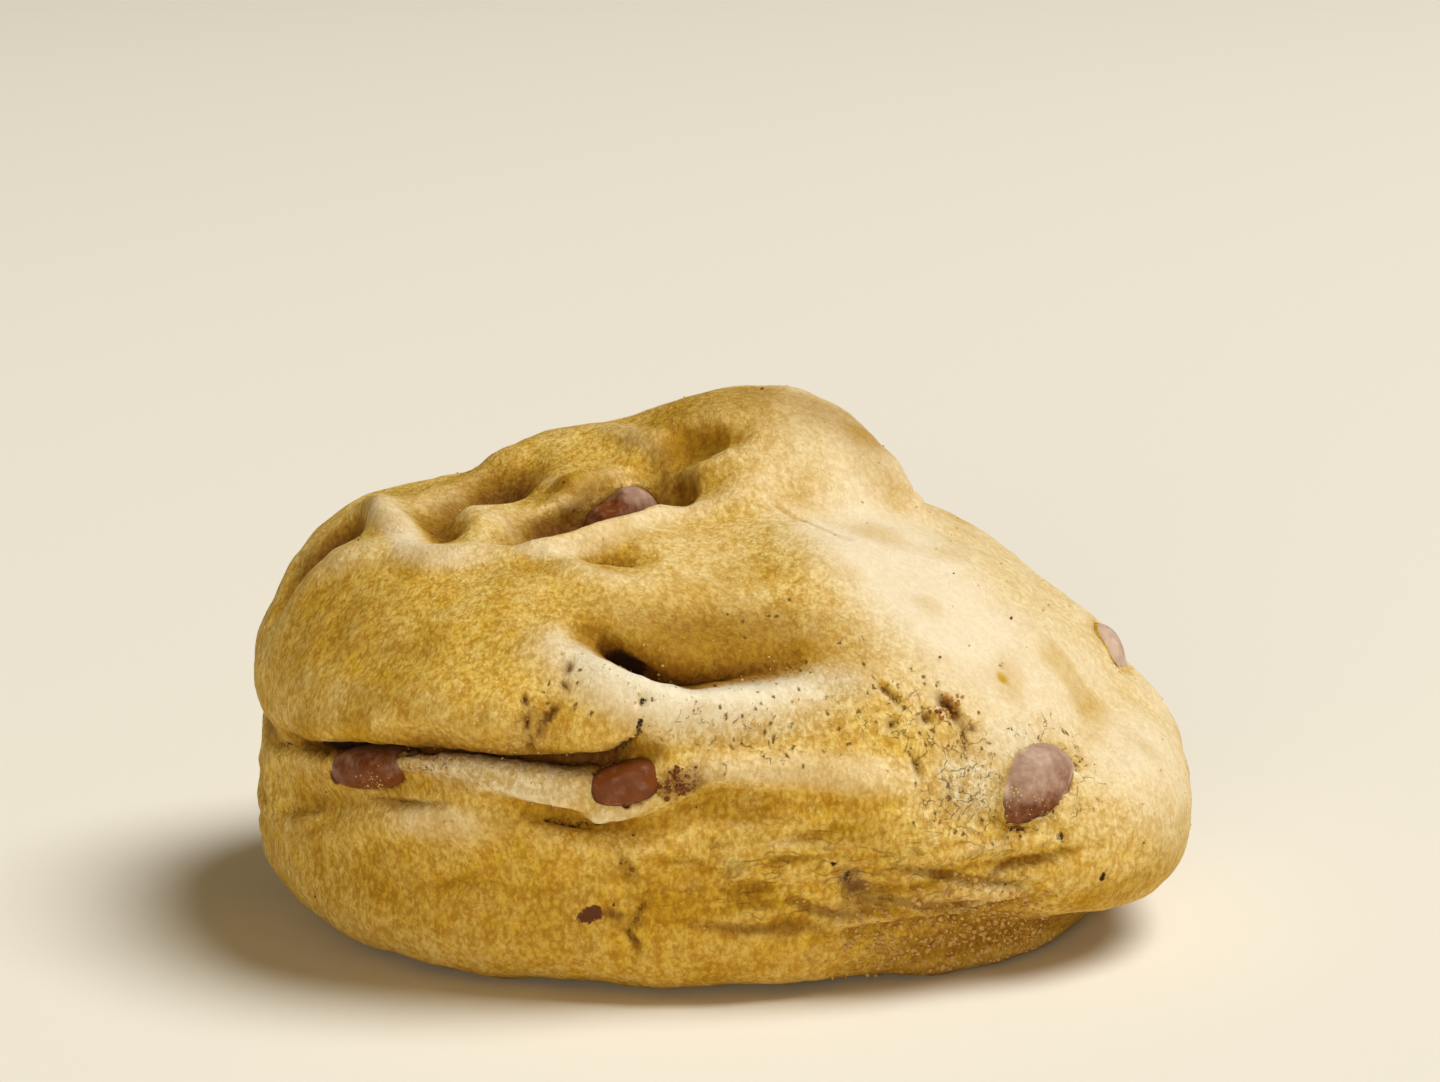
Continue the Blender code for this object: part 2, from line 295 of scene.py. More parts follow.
def smooth_path(corners: np.ndarray, step: float) -> np.ndarray:
    """Rounds a path of straight runs into a smooth one through the same corners.

    Args:
        corners: the corners, one in each row.
        step: the greatest distance between two points of the smooth path.

    Returns:
        The points of the smooth path.
    """
    if len(corners) == 1:
        return corners
    held = np.vstack((2 * corners[0] - corners[1], corners, 2 * corners[-1] - corners[-2]))
    path = []
    for before, start, end, after in zip(held, held[1:], held[2:], held[3:]):
        steps = max(1, math.ceil(np.linalg.norm(end - start) / step))
        for share in np.arange(steps) / steps:
            leaving = (end - before) / 2 - (end - start)
            arriving = (after - start) / 2 - (end - start)
            bend = leaving * share * (1 - share) ** 2 - arriving * share**2 * (1 - share)
            path.append(start + (end - start) * share + bend)
    path.append(corners[-1])
    return np.array(path)


class Curve:
    """A curve that lies on the crust, and how far other points are from it."""

    def __init__(self, points: np.ndarray) -> None:
        """Takes the points of the curve, in dough coordinates."""
        self.points = points if len(points) > 1 else np.vstack((points, points + 0.01))

    @classmethod
    def on_body(cls, body: DoughBody, places: tuple[tuple[float, ...], ...], step: float = 1.5) -> "Curve":
        """Lays a curve through some places onto the plain body."""
        return cls(body.surface(body.towards(smooth_path(np.array(places, float), step))))

    @classmethod
    def traced(
        cls, view: PhotoView, pixels: tuple[tuple[float, ...], ...], tree: BVHTree, step: float = 8.0,
    ) -> "Curve | None":
        """Traces a curve of the photograph onto the crust.

        Args:
            view: the camera of the photograph.
            pixels: the pixels that the curve goes through.
            tree: a search tree over the crust so far.
            step: the greatest distance between two of its points, in pixels.

        Returns:
            The curve where the camera sees it on the crust, or None if it misses the crust.
        """
        start = Vector(view.place() * MM)
        hits = [
            tree.ray_cast(start, Vector(ray))[0]
            for ray in view.rays(smooth_path(np.array(pixels, float), step).tolist())
        ]
        points = [np.array(hit) / MM + MIDDLE for hit in hits if hit is not None]
        return cls(np.array(points)) if points else None

    def near(self, points: np.ndarray, width: float) -> np.ndarray:
        """Which points may lie within a width of the curve, by their box."""
        low = self.points.min(axis=0) - width
        high = self.points.max(axis=0) + width
        return np.flatnonzero(((points > low) & (points < high)).all(axis=1))

    def distance(self, points: np.ndarray) -> tuple[np.ndarray, np.ndarray]:
        """How far each point is from the curve, and at what share of its length the nearest place is."""
        nearest = np.full(len(points), np.inf)
        place = np.zeros(len(points))
        lengths = np.linalg.norm(np.diff(self.points, axis=0), axis=1)
        starts = np.concatenate(([0.0], np.cumsum(lengths)[:-1]))
        for start, end, length, before in zip(self.points, self.points[1:], lengths, starts):
            run = end - start
            share = np.clip((points - start) @ run / max(run @ run, 1e-9), 0.0, 1.0)
            beside = np.linalg.norm(points - start - share[:, None] * run, axis=1)
            closer = beside < nearest
            nearest = np.where(closer, beside, nearest)
            place = np.where(closer, before + share * length, place)
        return nearest, place / lengths.sum()


@dataclass(frozen=True)
class Chocolate:
    """Half of a chip's size and the frame that it lies in, for shaping it and its socket."""

    middle: np.ndarray
    axes: np.ndarray
    radii: np.ndarray
    squareness: float
    snug: float = 1.13
    lip: float = 0.15
    tuck: float = 0.97

    @classmethod
    def at(cls, chip: ChipPlace, body: DoughBody, grown: float = 0.0) -> "Chocolate":
        """Works out where a chip lies in the dough.

        Args:
            chip: the chip's place and sizes.
            body: the plain body of the dough.
            grown: added to each half size, in millimetres.

        Returns:
            The chip's frame and half sizes.
        """
        outward = Vector(body.towards(np.array([chip.towards]))[0])
        level = Vector((0, 0, 1)).cross(outward).normalized()
        rising = outward.cross(level)
        surface = Vector(body.surface(np.array([outward]))[0])
        middle = surface + outward * (chip.proud - chip.radii[2])
        axes = Matrix((level, rising, outward)).transposed()
        axes = axes @ Matrix.Rotation(math.radians(chip.turn), 3, "Z")
        return cls(np.array(middle), np.array(axes), np.array(chip.radii) + grown, chip.squareness)

    def local(self, points: np.ndarray) -> np.ndarray:
        """The points in the chip's own frame, as shares of its half sizes."""
        return (points - self.middle) @ self.axes / self.radii

    def level(self, shares: np.ndarray) -> np.ndarray:
        """How far out each local point is: 1 on the chip's surface."""
        return (np.abs(shares) ** self.squareness).sum(axis=1) ** (1 / self.squareness)

    def placed(self, shares: np.ndarray) -> np.ndarray:
        """Local shares as points in dough coordinates."""
        return (shares * self.radii) @ self.axes.T + self.middle

    def make_room(self, points: np.ndarray) -> np.ndarray:
        """Lays the crust that would run through the chip round it instead, as a socket that hugs it.

        Args:
            points: the crust's points.

        Returns:
            The same points, with those inside the chip moved to its underside and those beside it
            drawn up against its rim.
        """
        shares = self.local(points)
        level = self.level(shares)
        rim = (level >= 1.0) & (level < self.snug)
        inside = level < 1.0
        held = shares[inside]
        across = np.linalg.norm(held[:, :2], axis=1)
        bearing = held[:, :2] / np.maximum(across, 1e-6)[:, None]
        height = np.clip(held[:, 2], -0.999, 0.999)
        edge = (1.0 - np.abs(height) ** self.squareness) ** (1 / self.squareness)
        edge = edge / (np.abs(bearing) ** self.squareness).sum(axis=1) ** (1 / self.squareness)
        angle = np.arctan2(edge, -height) * np.clip(across / edge, 0.0, 1.0)
        laid = np.column_stack((bearing * np.sin(angle)[:, None], -np.cos(angle)))
        laid /= self.level(laid)[:, None]
        moved = points.copy()
        moved[inside] = self.placed(laid)
        lip = self.tuck * shares[rim] / level[rim, None]
        lip[:, 2] += self.lip / self.radii[2]
        moved[rim] = self.placed(lip)
        return moved


# The forms of the crust: those of the CAD source, some of them moved a little to lie nearer to the
# photograph, and finer ones beside them, each with the colour that it paints: brown, gold and dark in
# folds, dents, slits and cracks are painted shade, and the pale on rims, ridges and lips is partly a
# painted highlight.
FORM_STROKES = {
    # Painted shade: brown in the groove of the fold.
    "fold": Stroke(
        ((-43, -15, 20), (-40.5, -20.4, 21), (-35, -28.3, 23), (-29.9, -32.8, 24.2), (-25.1, -35.6, 24.6),
         (-20.4, -37.3, 24.6), (-15.8, -38.2, 24.3), (-11.3, -38.4, 24.1), (-6.5, -38.1, 25.1)),
        1.9, -4.2, 1.3, 0.15, paint={Tone.BROWN: 0.5}),
    "fold_brow": Stroke(
        ((-42, -17, 24.5), (-36, -27, 27), (-27, -34.5, 28.3), (-16, -37, 28.3), (-8, -37, 28.8)), 5.0, 1.0),
    "fold_band": Stroke(
        ((-44, -12, 15.5), (-33.5, -29.3, 20.2), (-25, -35.5, 21), (-13, -37.8, 20.9)), 3.8, -1.2),
    "lower_fold": Stroke(
        ((-21, -36.1, 19.2), (-16.8, -36.9, 18.4), (-9.5, -37.6, 17.7), (-4, -37.3, 18.8)), 2.2, -2.0),
    "lower_fold_lip": Stroke(((-14.5, -37.5, 20), (-9, -37.8, 19.4), (-4, -37.5, 20.8)), 1.9, 1.2),
    "left_fold": Stroke(((-43.5, -12.6, 13.2), (-37.6, -22.8, 15.5), (-30.1, -31.4, 18.6)), 2.0, -1.1),
    "left_foot": Stroke(((-45, -8, 10), (-45, 2, 10)), 8, 0.5),
    # Painted shade: gold in the hollow and brown in its crease. The lip below is pale partly as a painted
    # highlight.
    "hollow": Stroke(
        ((-13, -32, 36.5), (-6, -32, 35.5), (2, -31, 35.0), (8, -28, 35.5)), 7.5, -1.3, 1.5,
        paint={Tone.GOLD: 0.3}),
    "hollow_crease": Stroke(
        ((-13.5, -33.4, 35.9), (-9.5, -33.8, 34.1), (-6.7, -34.5, 33.0), (-4, -34.6, 32.1), (1, -33.8, 32.3),
         (6, -31.8, 32.5)), 3.0, -3.2, 1.8, 0.4, paint={Tone.BROWN: 0.3}),
    "hollow_lip": Stroke(
        ((-16, -33.6, 33.6), (-11.3, -34.9, 31.2), (-6.7, -35.9, 29.6), (-1, -34.8, 29.0), (6, -32.6, 28.8)),
        4.6, 1.7, paint={Tone.PALE: 0.75}),
    # The rims and the left ridge are pale partly as a painted highlight where they face the light.
    "rim": Stroke(
        ((-42, -8, 33.6), (-38.5, -9, 36.3), (-34, -12, 37.8), (-28, -17, 38.6), (-21, -18.5, 39.4),
         (-15, -20, 39.7)), 3.2, 1.2, paint={Tone.PALE: 0.2}),
    "rim_front": Stroke(
        ((-16, -21, 39.2), (-12.5, -24.5, 38.2), (-8, -25, 37.8)), 2.6, 0.9, paint={Tone.PALE: 0.25}),
    "rim_back": Stroke(
        ((-17, -18.5, 40), (-14.5, -17, 40.6), (-11.8, -15, 40.9), (-8, -11, 41.3), (-4, -10, 42.2),
         (0, -9.5, 43.6), (3, -9, 45.5)), 2.8, 1.5, paint={Tone.PALE: 0.3}),
    "rim_notch": Stroke(((-14.5, -20.5, 39.8), (-12, -20, 40), (-8, -20, 39.8)), 2.6, -2.0),
    # Painted shade: brown and gold in the dents of the top.
    "left_dent": Stroke(
        ((-41, -5, 32.6), (-39, -5, 35.4), (-36, -3.5, 38.0)), 4.6, -4.8, 1.5, paint={Tone.BROWN: 0.45}),
    "left_ridge": Stroke(((-35, 3, 40), (-33, -4, 40), (-30.3, -11, 39.6)), 3.0, 1.7, paint={Tone.PALE: 0.3}),
    "round_dent": Stroke(
        ((-28, -5, 40.5), (-26.4, -10, 40.2), (-25.8, -13.5, 39.8)), 3.2, -2.4, paint={Tone.BROWN: 0.2}),
    "bowl": Stroke(
        ((-19, -14, 40.6), (-15, -12, 41), (-11, -8, 41.5), (-8, -4, 42.3)), 5.4, -5.6,
        paint={Tone.BROWN: 0.3}),
    "bowl_left": Stroke(
        ((-28.5, -4, 41), (-24.5, -2, 41.8), (-20.5, 2, 42.8)), 5.4, -3.9, paint={Tone.BROWN: 0.35}),
    "bowl_lump": Stroke(((-16, -5, 42), (-12, -3.2, 43), (-8.5, -2, 43.6)), 2.8, 1.8),
    "summit_dent": Stroke(
        ((-7.0, -2.5, 47.3), (-3.6, -3.2, 47.9), (0.4, -3.8, 48.4)), 3.3, -3.0, paint={Tone.GOLD: 0.2}),
    "summit_dent_low": Stroke(
        ((-6.5, -6.5, 43), (-2.5, -7.5, 43.8)), 4.8, -2.0, paint={Tone.BROWN: 0.15, Tone.GOLD: 0.5}),
    "nose_ridge": Stroke(((3, -9, 45), (8, -17, 39.5), (10, -25, 35)), 6, 0.8),
    "right_bulge": Stroke(((41, -2, 24), (43, -4, 20)), 8, 1.0),
    "right_fill": Stroke(((38, 5, 29.5), (41.5, 2, 26), (44, -1, 21.5)), 10.0, 0.7),
    "knob_side": Stroke(((15.5, 2, 46.5), (18.5, 1, 43.5), (20, 0, 41.5)), 5.0, 1.1),
    "knob_foot": Stroke(((19.5, 1, 42.5), (21.5, 0, 40.5)), 4.0, 1.2),
    "left_shoulder": Stroke(((-45, 0, 30), (-44, -2, 31.5), (-42.0, -4, 34)), 7.5, -2.6),
    "left_saddle": Stroke(((-25.5, 6, 44), (-21, 8, 45.5)), 4.5, 0.9),
    "chip_swelling": Stroke(((30.5, -28, 18.4), (24, -32, 18.5)), 6.5, 0.8),
    "shelf": Stroke(
        ((-3, -37, 23.4), (2, -36.3, 23), (8, -35.6, 22.6), (17, -34.6, 21.2)), 2.6, 0.8,
        paint={Tone.PALE: 0.5}),
    "below_shelf": Stroke(((-5, -37.3, 19.6), (1, -36.4, 19.4), (9, -35.6, 19.4)), 3.6, -1.2),
    "foot_groove": Stroke(
        ((12.7, -34.4, 6.2), (19.4, -32.6, 6), (26, -30, 6.4), (32, -26.6, 6.6)), 2.4, -0.9),
    "foot": Stroke(
        ((14, -34.5, 2.2), (22, -32, 2.4), (30, -27.5, 2.6), (35, -22, 3)), 4.6, -1.6,
        paint={Tone.BROWN: 0.35, Tone.GOLD: 0.5}),
    # Painted shade: brown in the gap under the lobe.
    "lobe_gap": Stroke(
        ((35, -23, 2), (39, -16, 2), (41, -8, 2), (40, 4, 2)), 5.2, -1.7, paint={Tone.BROWN: 0.4}),
    # Painted shade: brown and dark in the back's fold and slit, gold in its hollow, brown in its pinch and
    # dent. The hollow's lip is pale partly as a painted highlight.
    "back_fold": Stroke(
        ((38, 22, 15), (30, 31, 17), (20, 37, 19.5), (8, 40, 20.2), (-4, 40, 18.6), (-16, 37, 19.2),
         (-26, 30, 17)),
        2.6, -3.0, 1.4, 0.4, paint={Tone.BROWN: 0.3}),
    "back_slit": Stroke(
        ((32, 29, 17), (22, 36, 19.4), (12, 39.5, 20.4), (4, 40.5, 19.8), (-4, 40, 19)),
        0.9, -1.2, 1.2, 0.5, paint={Tone.DARK: 0.6, Tone.BROWN: 0.6}, ragged=0.5),
    "back_brow": Stroke(
        ((30, 29, 20), (20, 36, 22.5), (10, 39, 23.4), (0, 39.5, 22.6)), 4.0, 1.0, 2.0, 0.4,
        drag=(0, 0, -0.8)),
    "back_hollow": Stroke(
        ((20, 30, 31), (13, 33, 33), (5, 34, 32.5), (-2, 34, 34)), 5.0, -2.4, 1.5, paint={Tone.GOLD: 0.3}),
    "back_hollow_lip": Stroke(
        ((19, 34, 29), (12, 37, 28.5), (4, 37, 29.5)), 3.6, 1.6, paint={Tone.PALE: 0.6}),
    "back_rim": Stroke(((-36, 14, 36), (-26, 21, 38), (-14, 26, 39.5), (-4, 27, 41)), 3.4, 1.4),
    "back_pinch": Stroke(((-22, 13, 41), (-14, 18, 41.5), (-9, 22, 41)), 3.4, -2.0, paint={Tone.BROWN: 0.3}),
    "back_summit_dent": Stroke(
        ((2, 16, 47.5), (8, 18, 45.5), (14, 16, 44)), 3.2, -1.5, paint={Tone.BROWN: 0.2}),
    "left_back_dent": Stroke(((-41, 18, 29), (-36, 25, 30), (-30, 30, 28.5)), 4.4, -1.4),
    "right_back_dent": Stroke(((37, 12, 28), (32, 20, 29), (26, 26, 29)), 4.2, -1.2),
    "back_foot_groove": Stroke(((-30, 26, 6), (-16, 33, 6), (0, 37, 6), (14, 36, 6)), 2.6, -1.0),
    "back_crust": Stroke(
        ((30, 26, 24), (12, 36, 27), (-8, 37, 28), (-26, 30, 26)), 10.0, 0.0,
        paint={Tone.PORES: 0.45, Tone.CRACKS: 0.75}),
    "back_film": Stroke(
        ((20, 34, 25), (6, 39, 26.5), (-8, 38, 26)), 4.0, 0.0, paint={Tone.DUST: 0.6}, ragged=0.5),
    # Painted shade: dark inside the cracks of the back.
    "back_crack_a": Stroke(
        ((-12, 38, 24), (-11, 37, 28), (-13, 36, 31)), 0.8, -0.8, paint={Tone.DARK: 0.55}, ragged=0.8),
    "back_crack_b": Stroke(
        ((17, 36, 24), (18, 34, 27.5), (16, 33, 30)), 0.8, -0.8, paint={Tone.DARK: 0.5}, ragged=0.8),
    "back_wrinkles": Stroke(
        ((36, 22, 10), (22, 34, 12), (4, 39, 12), (-16, 36, 12), (-34, 24, 12)), 9.0, 0.0,
        paint={Tone.WRINKLES: 0.9}),
    "left_wrinkles": Stroke(
        ((-44, -10, 12), (-46, 4, 12), (-42, 18, 11)), 9.0, 0.0, paint={Tone.WRINKLES: 0.7}),
    "left_crust": Stroke(
        ((-45, 2, 26), (-42, 14, 28)), 10.0, 0.0, paint={Tone.PORES: 0.3, Tone.CRACKS: 0.6}),
    # Painted shade: brown and dark in the fold at the left end.
    "left_end_fold": Stroke(
        ((-43.5, -13, 19.6), (-46, -4, 19.2), (-46, 5, 19.8)), 1.8, -1.5, 1.3, 0.5,
        paint={Tone.BROWN: 0.5, Tone.DARK: 0.35}, ragged=0.4),
    "right_crust": Stroke(
        ((46, -6, 14), (44, 8, 20), (38, 16, 24)), 9.0, 0.0,
        paint={Tone.PORES: 0.4, Tone.CRACKS: 0.7, Tone.WRINKLES: 0.4}),
    # Painted shade: brown in the crease on the right.
    "right_crease": Stroke(
        ((44, 10, 12), (45.5, 2, 13.5), (45, -6, 13)), 1.6, -0.9, 1.4, 0.4,
        paint={Tone.BROWN: 0.25}, ragged=0.5),
    "top_crust": Stroke(
        ((4, 4, 50), (14, 8, 45), (20, 12, 40)), 9.0, 0.0, paint={Tone.CRACKS: 0.6, Tone.PORES: 0.25}),
}

# What the photograph alone gives, by its pixels: slits, cracks, lips, crumbly places and colours.
# The dark and brown in slits, cracks, lines and wrinkles and the gold and brown under the nose and the lobe
# are painted shade; the pale on the right slope, the lobe, ridges, rim and saddle is partly a painted
# highlight.
FINE_STROKES = {
    # Painted shade: the slit under the brow painted dark and brown, and the brow's underside gold.
    "slit": Stroke(
        ((303, 738), (353, 741), (381, 745), (412, 747), (440, 749)), 1.1, -2.0, 1.2, 0.2,
        paint={Tone.DARK: 0.7, Tone.BROWN: 0.7}),
    "slit_thin": Stroke(
        ((430, 748), (469, 750), (531, 755), (566, 759), (609, 757)), 0.8, -1.3, 1.2, 0.2,
        paint={Tone.DARK: 0.5, Tone.BROWN: 0.8}, ragged=0.3),
    "slit_brow": Stroke(
        ((290, 728), (353, 728), (412, 733), (469, 737), (531, 743), (600, 746)), 2.2, 0.7, 2.0, 0.2,
        drag=(0, 0, -0.6), paint={Tone.GOLD: 0.6}, ragged=0.2),
    "slit_end": Stroke(
        ((609, 757), (625, 748), (640, 740)), 0.8, -1.2, 1.2, 0.3, paint={Tone.DARK: 0.5}, ragged=0.4),
    "slit_fuzz": Stroke(((420, 757), (500, 762)), 2.2, 0.3, paint={Tone.DUST: 0.25}),
    # Painted shade: dark in the lower slit.
    "lower_slit": Stroke(
        ((523, 813), (550, 819), (580, 824), (617, 827)), 0.55, -1.0, 1.2, 0.4, paint={Tone.DARK: 0.55}),
    "lower_flap": Stroke(
        ((575, 811), (600, 815), (630, 810), (648, 800)), 1.1, 0.5, 2.0, 0.3, drag=(0, 0, -0.3),
        paint={Tone.PALE: 0.6}),
    # Painted shade: dark in the thin cracks, lines and creases round the left chip.
    "left_chip_crack": Stroke(
        ((368, 796), (385, 801), (412, 803), (444, 804)), 0.45, -0.7, 1.2, 0.4,
        paint={Tone.DARK: 0.45, Tone.BROWN: 0.5}),
    "left_line": Stroke(((269, 812), (295, 810), (322, 805)), 0.8, -0.6, 1.2, 0.4, paint={Tone.DARK: 0.4}),
    "left_line_low": Stroke(((300, 829), (318, 825), (335, 816)), 0.9, -0.5, paint={Tone.DARK: 0.3}),
    "left_crease": Stroke(((268, 744), (285, 746), (303, 743)), 0.9, -0.7, paint={Tone.DARK: 0.4}),
    "band_pale": Stroke(((450, 772), (500, 774), (550, 777), (590, 784)), 3.2, 0.5, paint={Tone.DUST: 0.6}),
    "band_pale_low": Stroke(((505, 790), (545, 797), (580, 803)), 1.6, 0.5, paint={Tone.PALE: 0.5}),
    "pillow": Stroke(((395, 818), (440, 822), (490, 830)), 3.0, 0.5, paint={Tone.PALE: 0.5}),
    # Painted shade: dark and brown in the slit under the nose.
    "hollow_slit": Stroke(
        ((606, 646), (620, 656), (634, 663), (652, 670)), 1.3, -2.0, 1.3, 0.3,
        paint={Tone.DARK: 0.7, Tone.BROWN: 0.8}),
    "hollow_rim": Stroke(
        ((590, 655), (625, 675), (655, 686), (700, 687), (745, 683)), 1.8, 0.3, 2.0, 0.3,
        paint={Tone.PALE: 0.6}, ragged=0.4),
    # Painted shade: gold and brown under the nose's overhang.
    "nose_roll": Stroke(
        ((605, 622), (645, 642), (690, 653), (735, 654), (790, 648)), 4.0, 1.2, 2.0, 0.3,
        drag=(0, 0, -0.8), paint={Tone.GOLD: 0.4}, ragged=0.2),
    "nose_gold": Stroke(
        ((610, 628), (690, 642), (780, 642), (840, 652)), 6.5, 0.0,
        paint={Tone.GOLD: 0.4, Tone.BROWN: 0.32, Tone.PORES: 0.2}),
    "dusty_lip": Stroke(
        ((560, 646), (610, 667), (660, 688), (720, 690), (780, 686), (850, 682)), 3.2, 0.0,
        paint={Tone.DUST: 0.9, Tone.PALE: 0.5}),
    "below_lip": Stroke(
        ((650, 728), (740, 724), (830, 714)), 3.2, 0.0, paint={Tone.DUST: 0.4}),
    # Painted shade: dark and brown inside the hairline cracks below the lip.
    "upright_crack": Stroke(((643, 697), (641, 706)), 0.45, -0.6, 1.2, 0.2,
        paint={Tone.DARK: 0.7}, ragged=0.6),
    "upright_crack_low": Stroke(((642, 716), (640, 730), (641, 741)), 0.5, -0.7, 1.2, 0.2,
        paint={Tone.DARK: 0.6}, ragged=0.6),
    "crack_a": Stroke(((526, 693), (525, 706)), 0.42, -0.5, 1.2, 0.2,
        paint={Tone.DARK: 0.5, Tone.BROWN: 0.8}, ragged=0.7),
    "crack_a_middle": Stroke(((528, 715), (527, 728)), 0.45, -0.5, 1.2, 0.2,
        paint={Tone.DARK: 0.55, Tone.BROWN: 0.9}, ragged=0.7),
    "crack_a_low": Stroke(((531, 736), (530, 742)), 0.4, -0.5, 1.2, 0.2,
        paint={Tone.DARK: 0.5, Tone.BROWN: 0.8}, ragged=0.7),
    "crack_b": Stroke(((541, 726), (548, 716), (557, 706)), 0.5, -0.5, 1.2, 0.2,
        paint={Tone.DARK: 0.42, Tone.BROWN: 1.0}, ragged=0.7),
    "crack_c": Stroke(((538, 730), (541, 735)), 0.4, -0.3, 1.2, 0.2,
        paint={Tone.BROWN: 0.8}, ragged=0.7),
    "crack_d": Stroke(((570, 661), (566, 672)), 0.5, -0.5, 1.2, 0.2,
        paint={Tone.DARK: 0.42, Tone.BROWN: 0.9}, ragged=0.8),
    "crack_d_low": Stroke(((562, 680), (565, 690)), 0.42, -0.4, 1.2, 0.2,
        paint={Tone.DARK: 0.45, Tone.BROWN: 0.7}, ragged=0.8),
    "brown_about_cracks": Stroke(((520, 735), (545, 715)), 2.6, 0.0, paint={Tone.BROWN: 0.35}),
    # Painted shade: dark and brown in the cracks, lines and wrinkles of the lower slab and along the foot's
    # edge.
    "low_crack": Stroke(((652, 896), (640, 910), (636, 922), (628, 932), (638, 945), (638, 956)), 0.5, -0.5,
        1.2, 0.2, paint={Tone.DARK: 0.42, Tone.BROWN: 0.5}, ragged=0.7),
    "low_line": Stroke(((647, 861), (690, 863), (720, 859), (756, 862)), 0.6, -0.45, 1.3, 0.3,
        paint={Tone.DARK: 0.35}, ragged=0.5),
    "low_line_right": Stroke(((790, 898), (812, 908), (840, 914), (870, 912)), 0.7, -0.5, 1.3, 0.3,
        paint={Tone.DARK: 0.25, Tone.BROWN: 0.6}, ragged=0.5),
    "wrinkle_a": Stroke(((985, 876), (1010, 866), (1040, 860), (1068, 852)), 0.7, -0.5, 1.3, 0.3,
        paint={Tone.DARK: 0.25, Tone.BROWN: 0.6}, ragged=0.4),
    "wrinkle_b": Stroke(((900, 868), (940, 876), (985, 882), (1030, 885)), 0.7, -0.45, 1.3, 0.3,
        paint={Tone.DARK: 0.25, Tone.BROWN: 0.6}, ragged=0.5),
    "wrinkle_c": Stroke(((840, 905), (890, 900), (940, 905), (990, 902)), 0.8, -0.5, 1.3, 0.3,
        paint={Tone.DARK: 0.25, Tone.BROWN: 0.6}, ragged=0.5),
    "wrinkle_d": Stroke(((690, 925), (760, 930), (830, 927)), 0.8, -0.4, 1.3, 0.3,
        paint={Tone.DARK: 0.25, Tone.BROWN: 0.6}, ragged=0.5),
    "wrinkle_e": Stroke(((700, 842), (760, 838), (820, 842), (880, 840)), 1.0, -0.4, 1.5, 0.3,
        paint={Tone.BROWN: 0.15}, ragged=0.4),
    "foot_edge": Stroke(
        ((850, 934), (900, 926), (950, 918), (1000, 906), (1045, 897)), 1.4, -0.8, 1.5, 0.3,
        paint={Tone.BROWN: 0.5}, ragged=0.5),
    "foot_brow": Stroke(((820, 922), (880, 912), (950, 903), (1010, 893)), 2.0, 0.5, paint={Tone.PALE: 0.2}),
    "slope_hairline": Stroke(((770, 500), (790, 515), (815, 525), (850, 540)), 0.5, -0.25, 1.2, 0.3,
        paint={Tone.BROWN: 0.2}),
    "crumbs_right_a": Stroke(((938, 697), (950, 706), (961, 722)), 0.9, -0.7, 1.2, 0.3,
        paint={Tone.DARK: 0.45, Tone.BROWN: 1.0}, ragged=0.7),
    "crumbs_right_b": Stroke(((922, 719), (930, 718)), 0.8, -0.5, paint={Tone.BROWN: 1.0, Tone.DARK: 0.3}),
    "crumbs_right_c": Stroke(((970, 727), (976, 729)), 0.7, -0.4, paint={Tone.BROWN: 0.9}),
    # Painted shade: dark inside the cracks of the right side.
    "right_crack_a": Stroke(((878, 684), (890, 692), (902, 706)), 0.6, -0.6, 1.2, 0.3,
        paint={Tone.DARK: 0.48, Tone.BROWN: 0.4}, ragged=0.6),
    "right_crack_b": Stroke(((897, 718), (892, 724), (889, 731)), 0.6, -0.5, 1.2, 0.3,
        paint={Tone.DARK: 0.48, Tone.BROWN: 0.4}, ragged=0.6),
    "right_crack_c": Stroke(((965, 724), (964, 740), (966, 754)), 0.5, -0.5, 1.2, 0.3,
        paint={Tone.DARK: 0.48, Tone.BROWN: 0.4}, ragged=0.6),
    "right_crack_d": Stroke(((914, 756), (918, 766), (920, 778)), 0.6, -0.5, 1.2, 0.3,
        paint={Tone.DARK: 0.48, Tone.BROWN: 0.4}, ragged=0.6),
    "pepper_mark": Stroke(((1004, 658), (1002, 668)), 0.5, -0.4, paint={Tone.DARK: 0.5}),
    "pepper_spot": Stroke(((1003, 678),), 0.9, -0.2, paint={Tone.GOLD: 0.9}),
    "dusty_right": Stroke(((935, 790), (965, 785), (1000, 790)), 4.6, 0.0, paint={Tone.DUST: 0.65}),
    "dusty_right_top": Stroke(((985, 745), (1030, 735)), 3.4, 0.0, paint={Tone.DUST: 0.5}),
    "pores_right": Stroke(((925, 806), (965, 822), (1000, 826), (1040, 832)), 3.4, -0.3,
        paint={Tone.PORES: 1.0, Tone.CRACKS: 1.0, Tone.DARK: 0.25}),
    "pores_middle": Stroke(
        ((680, 700), (780, 715), (880, 700), (960, 760)), 8.0, 0.0, paint={Tone.PORES: 0.9}),
    "pores_above": Stroke(
        ((640, 590), (720, 600), (820, 640), (900, 660)), 5.0, 0.0, paint={Tone.PORES: 0.3}),
    "cracks_right": Stroke(
        ((870, 700), (930, 730), (960, 780), (930, 810)), 7.0, 0.0,
        paint={Tone.CRACKS: 1.0, Tone.PORES: 0.5}),
    "cracks_middle": Stroke(((640, 700), (720, 740), (830, 740)), 6.0, 0.0, paint={Tone.CRACKS: 0.7}),
    "cracks_chip": Stroke(
        ((1000, 740), (1060, 735), (1090, 790), (1060, 835)), 3.4, 0.0,
        paint={Tone.CRACKS: 0.8, Tone.PORES: 0.5}),
    "wrinkles_low": Stroke(
        ((650, 870), (760, 880), (880, 880), (1000, 870), (1090, 850)), 9.0, 0.0,
        paint={Tone.WRINKLES: 1.0}),
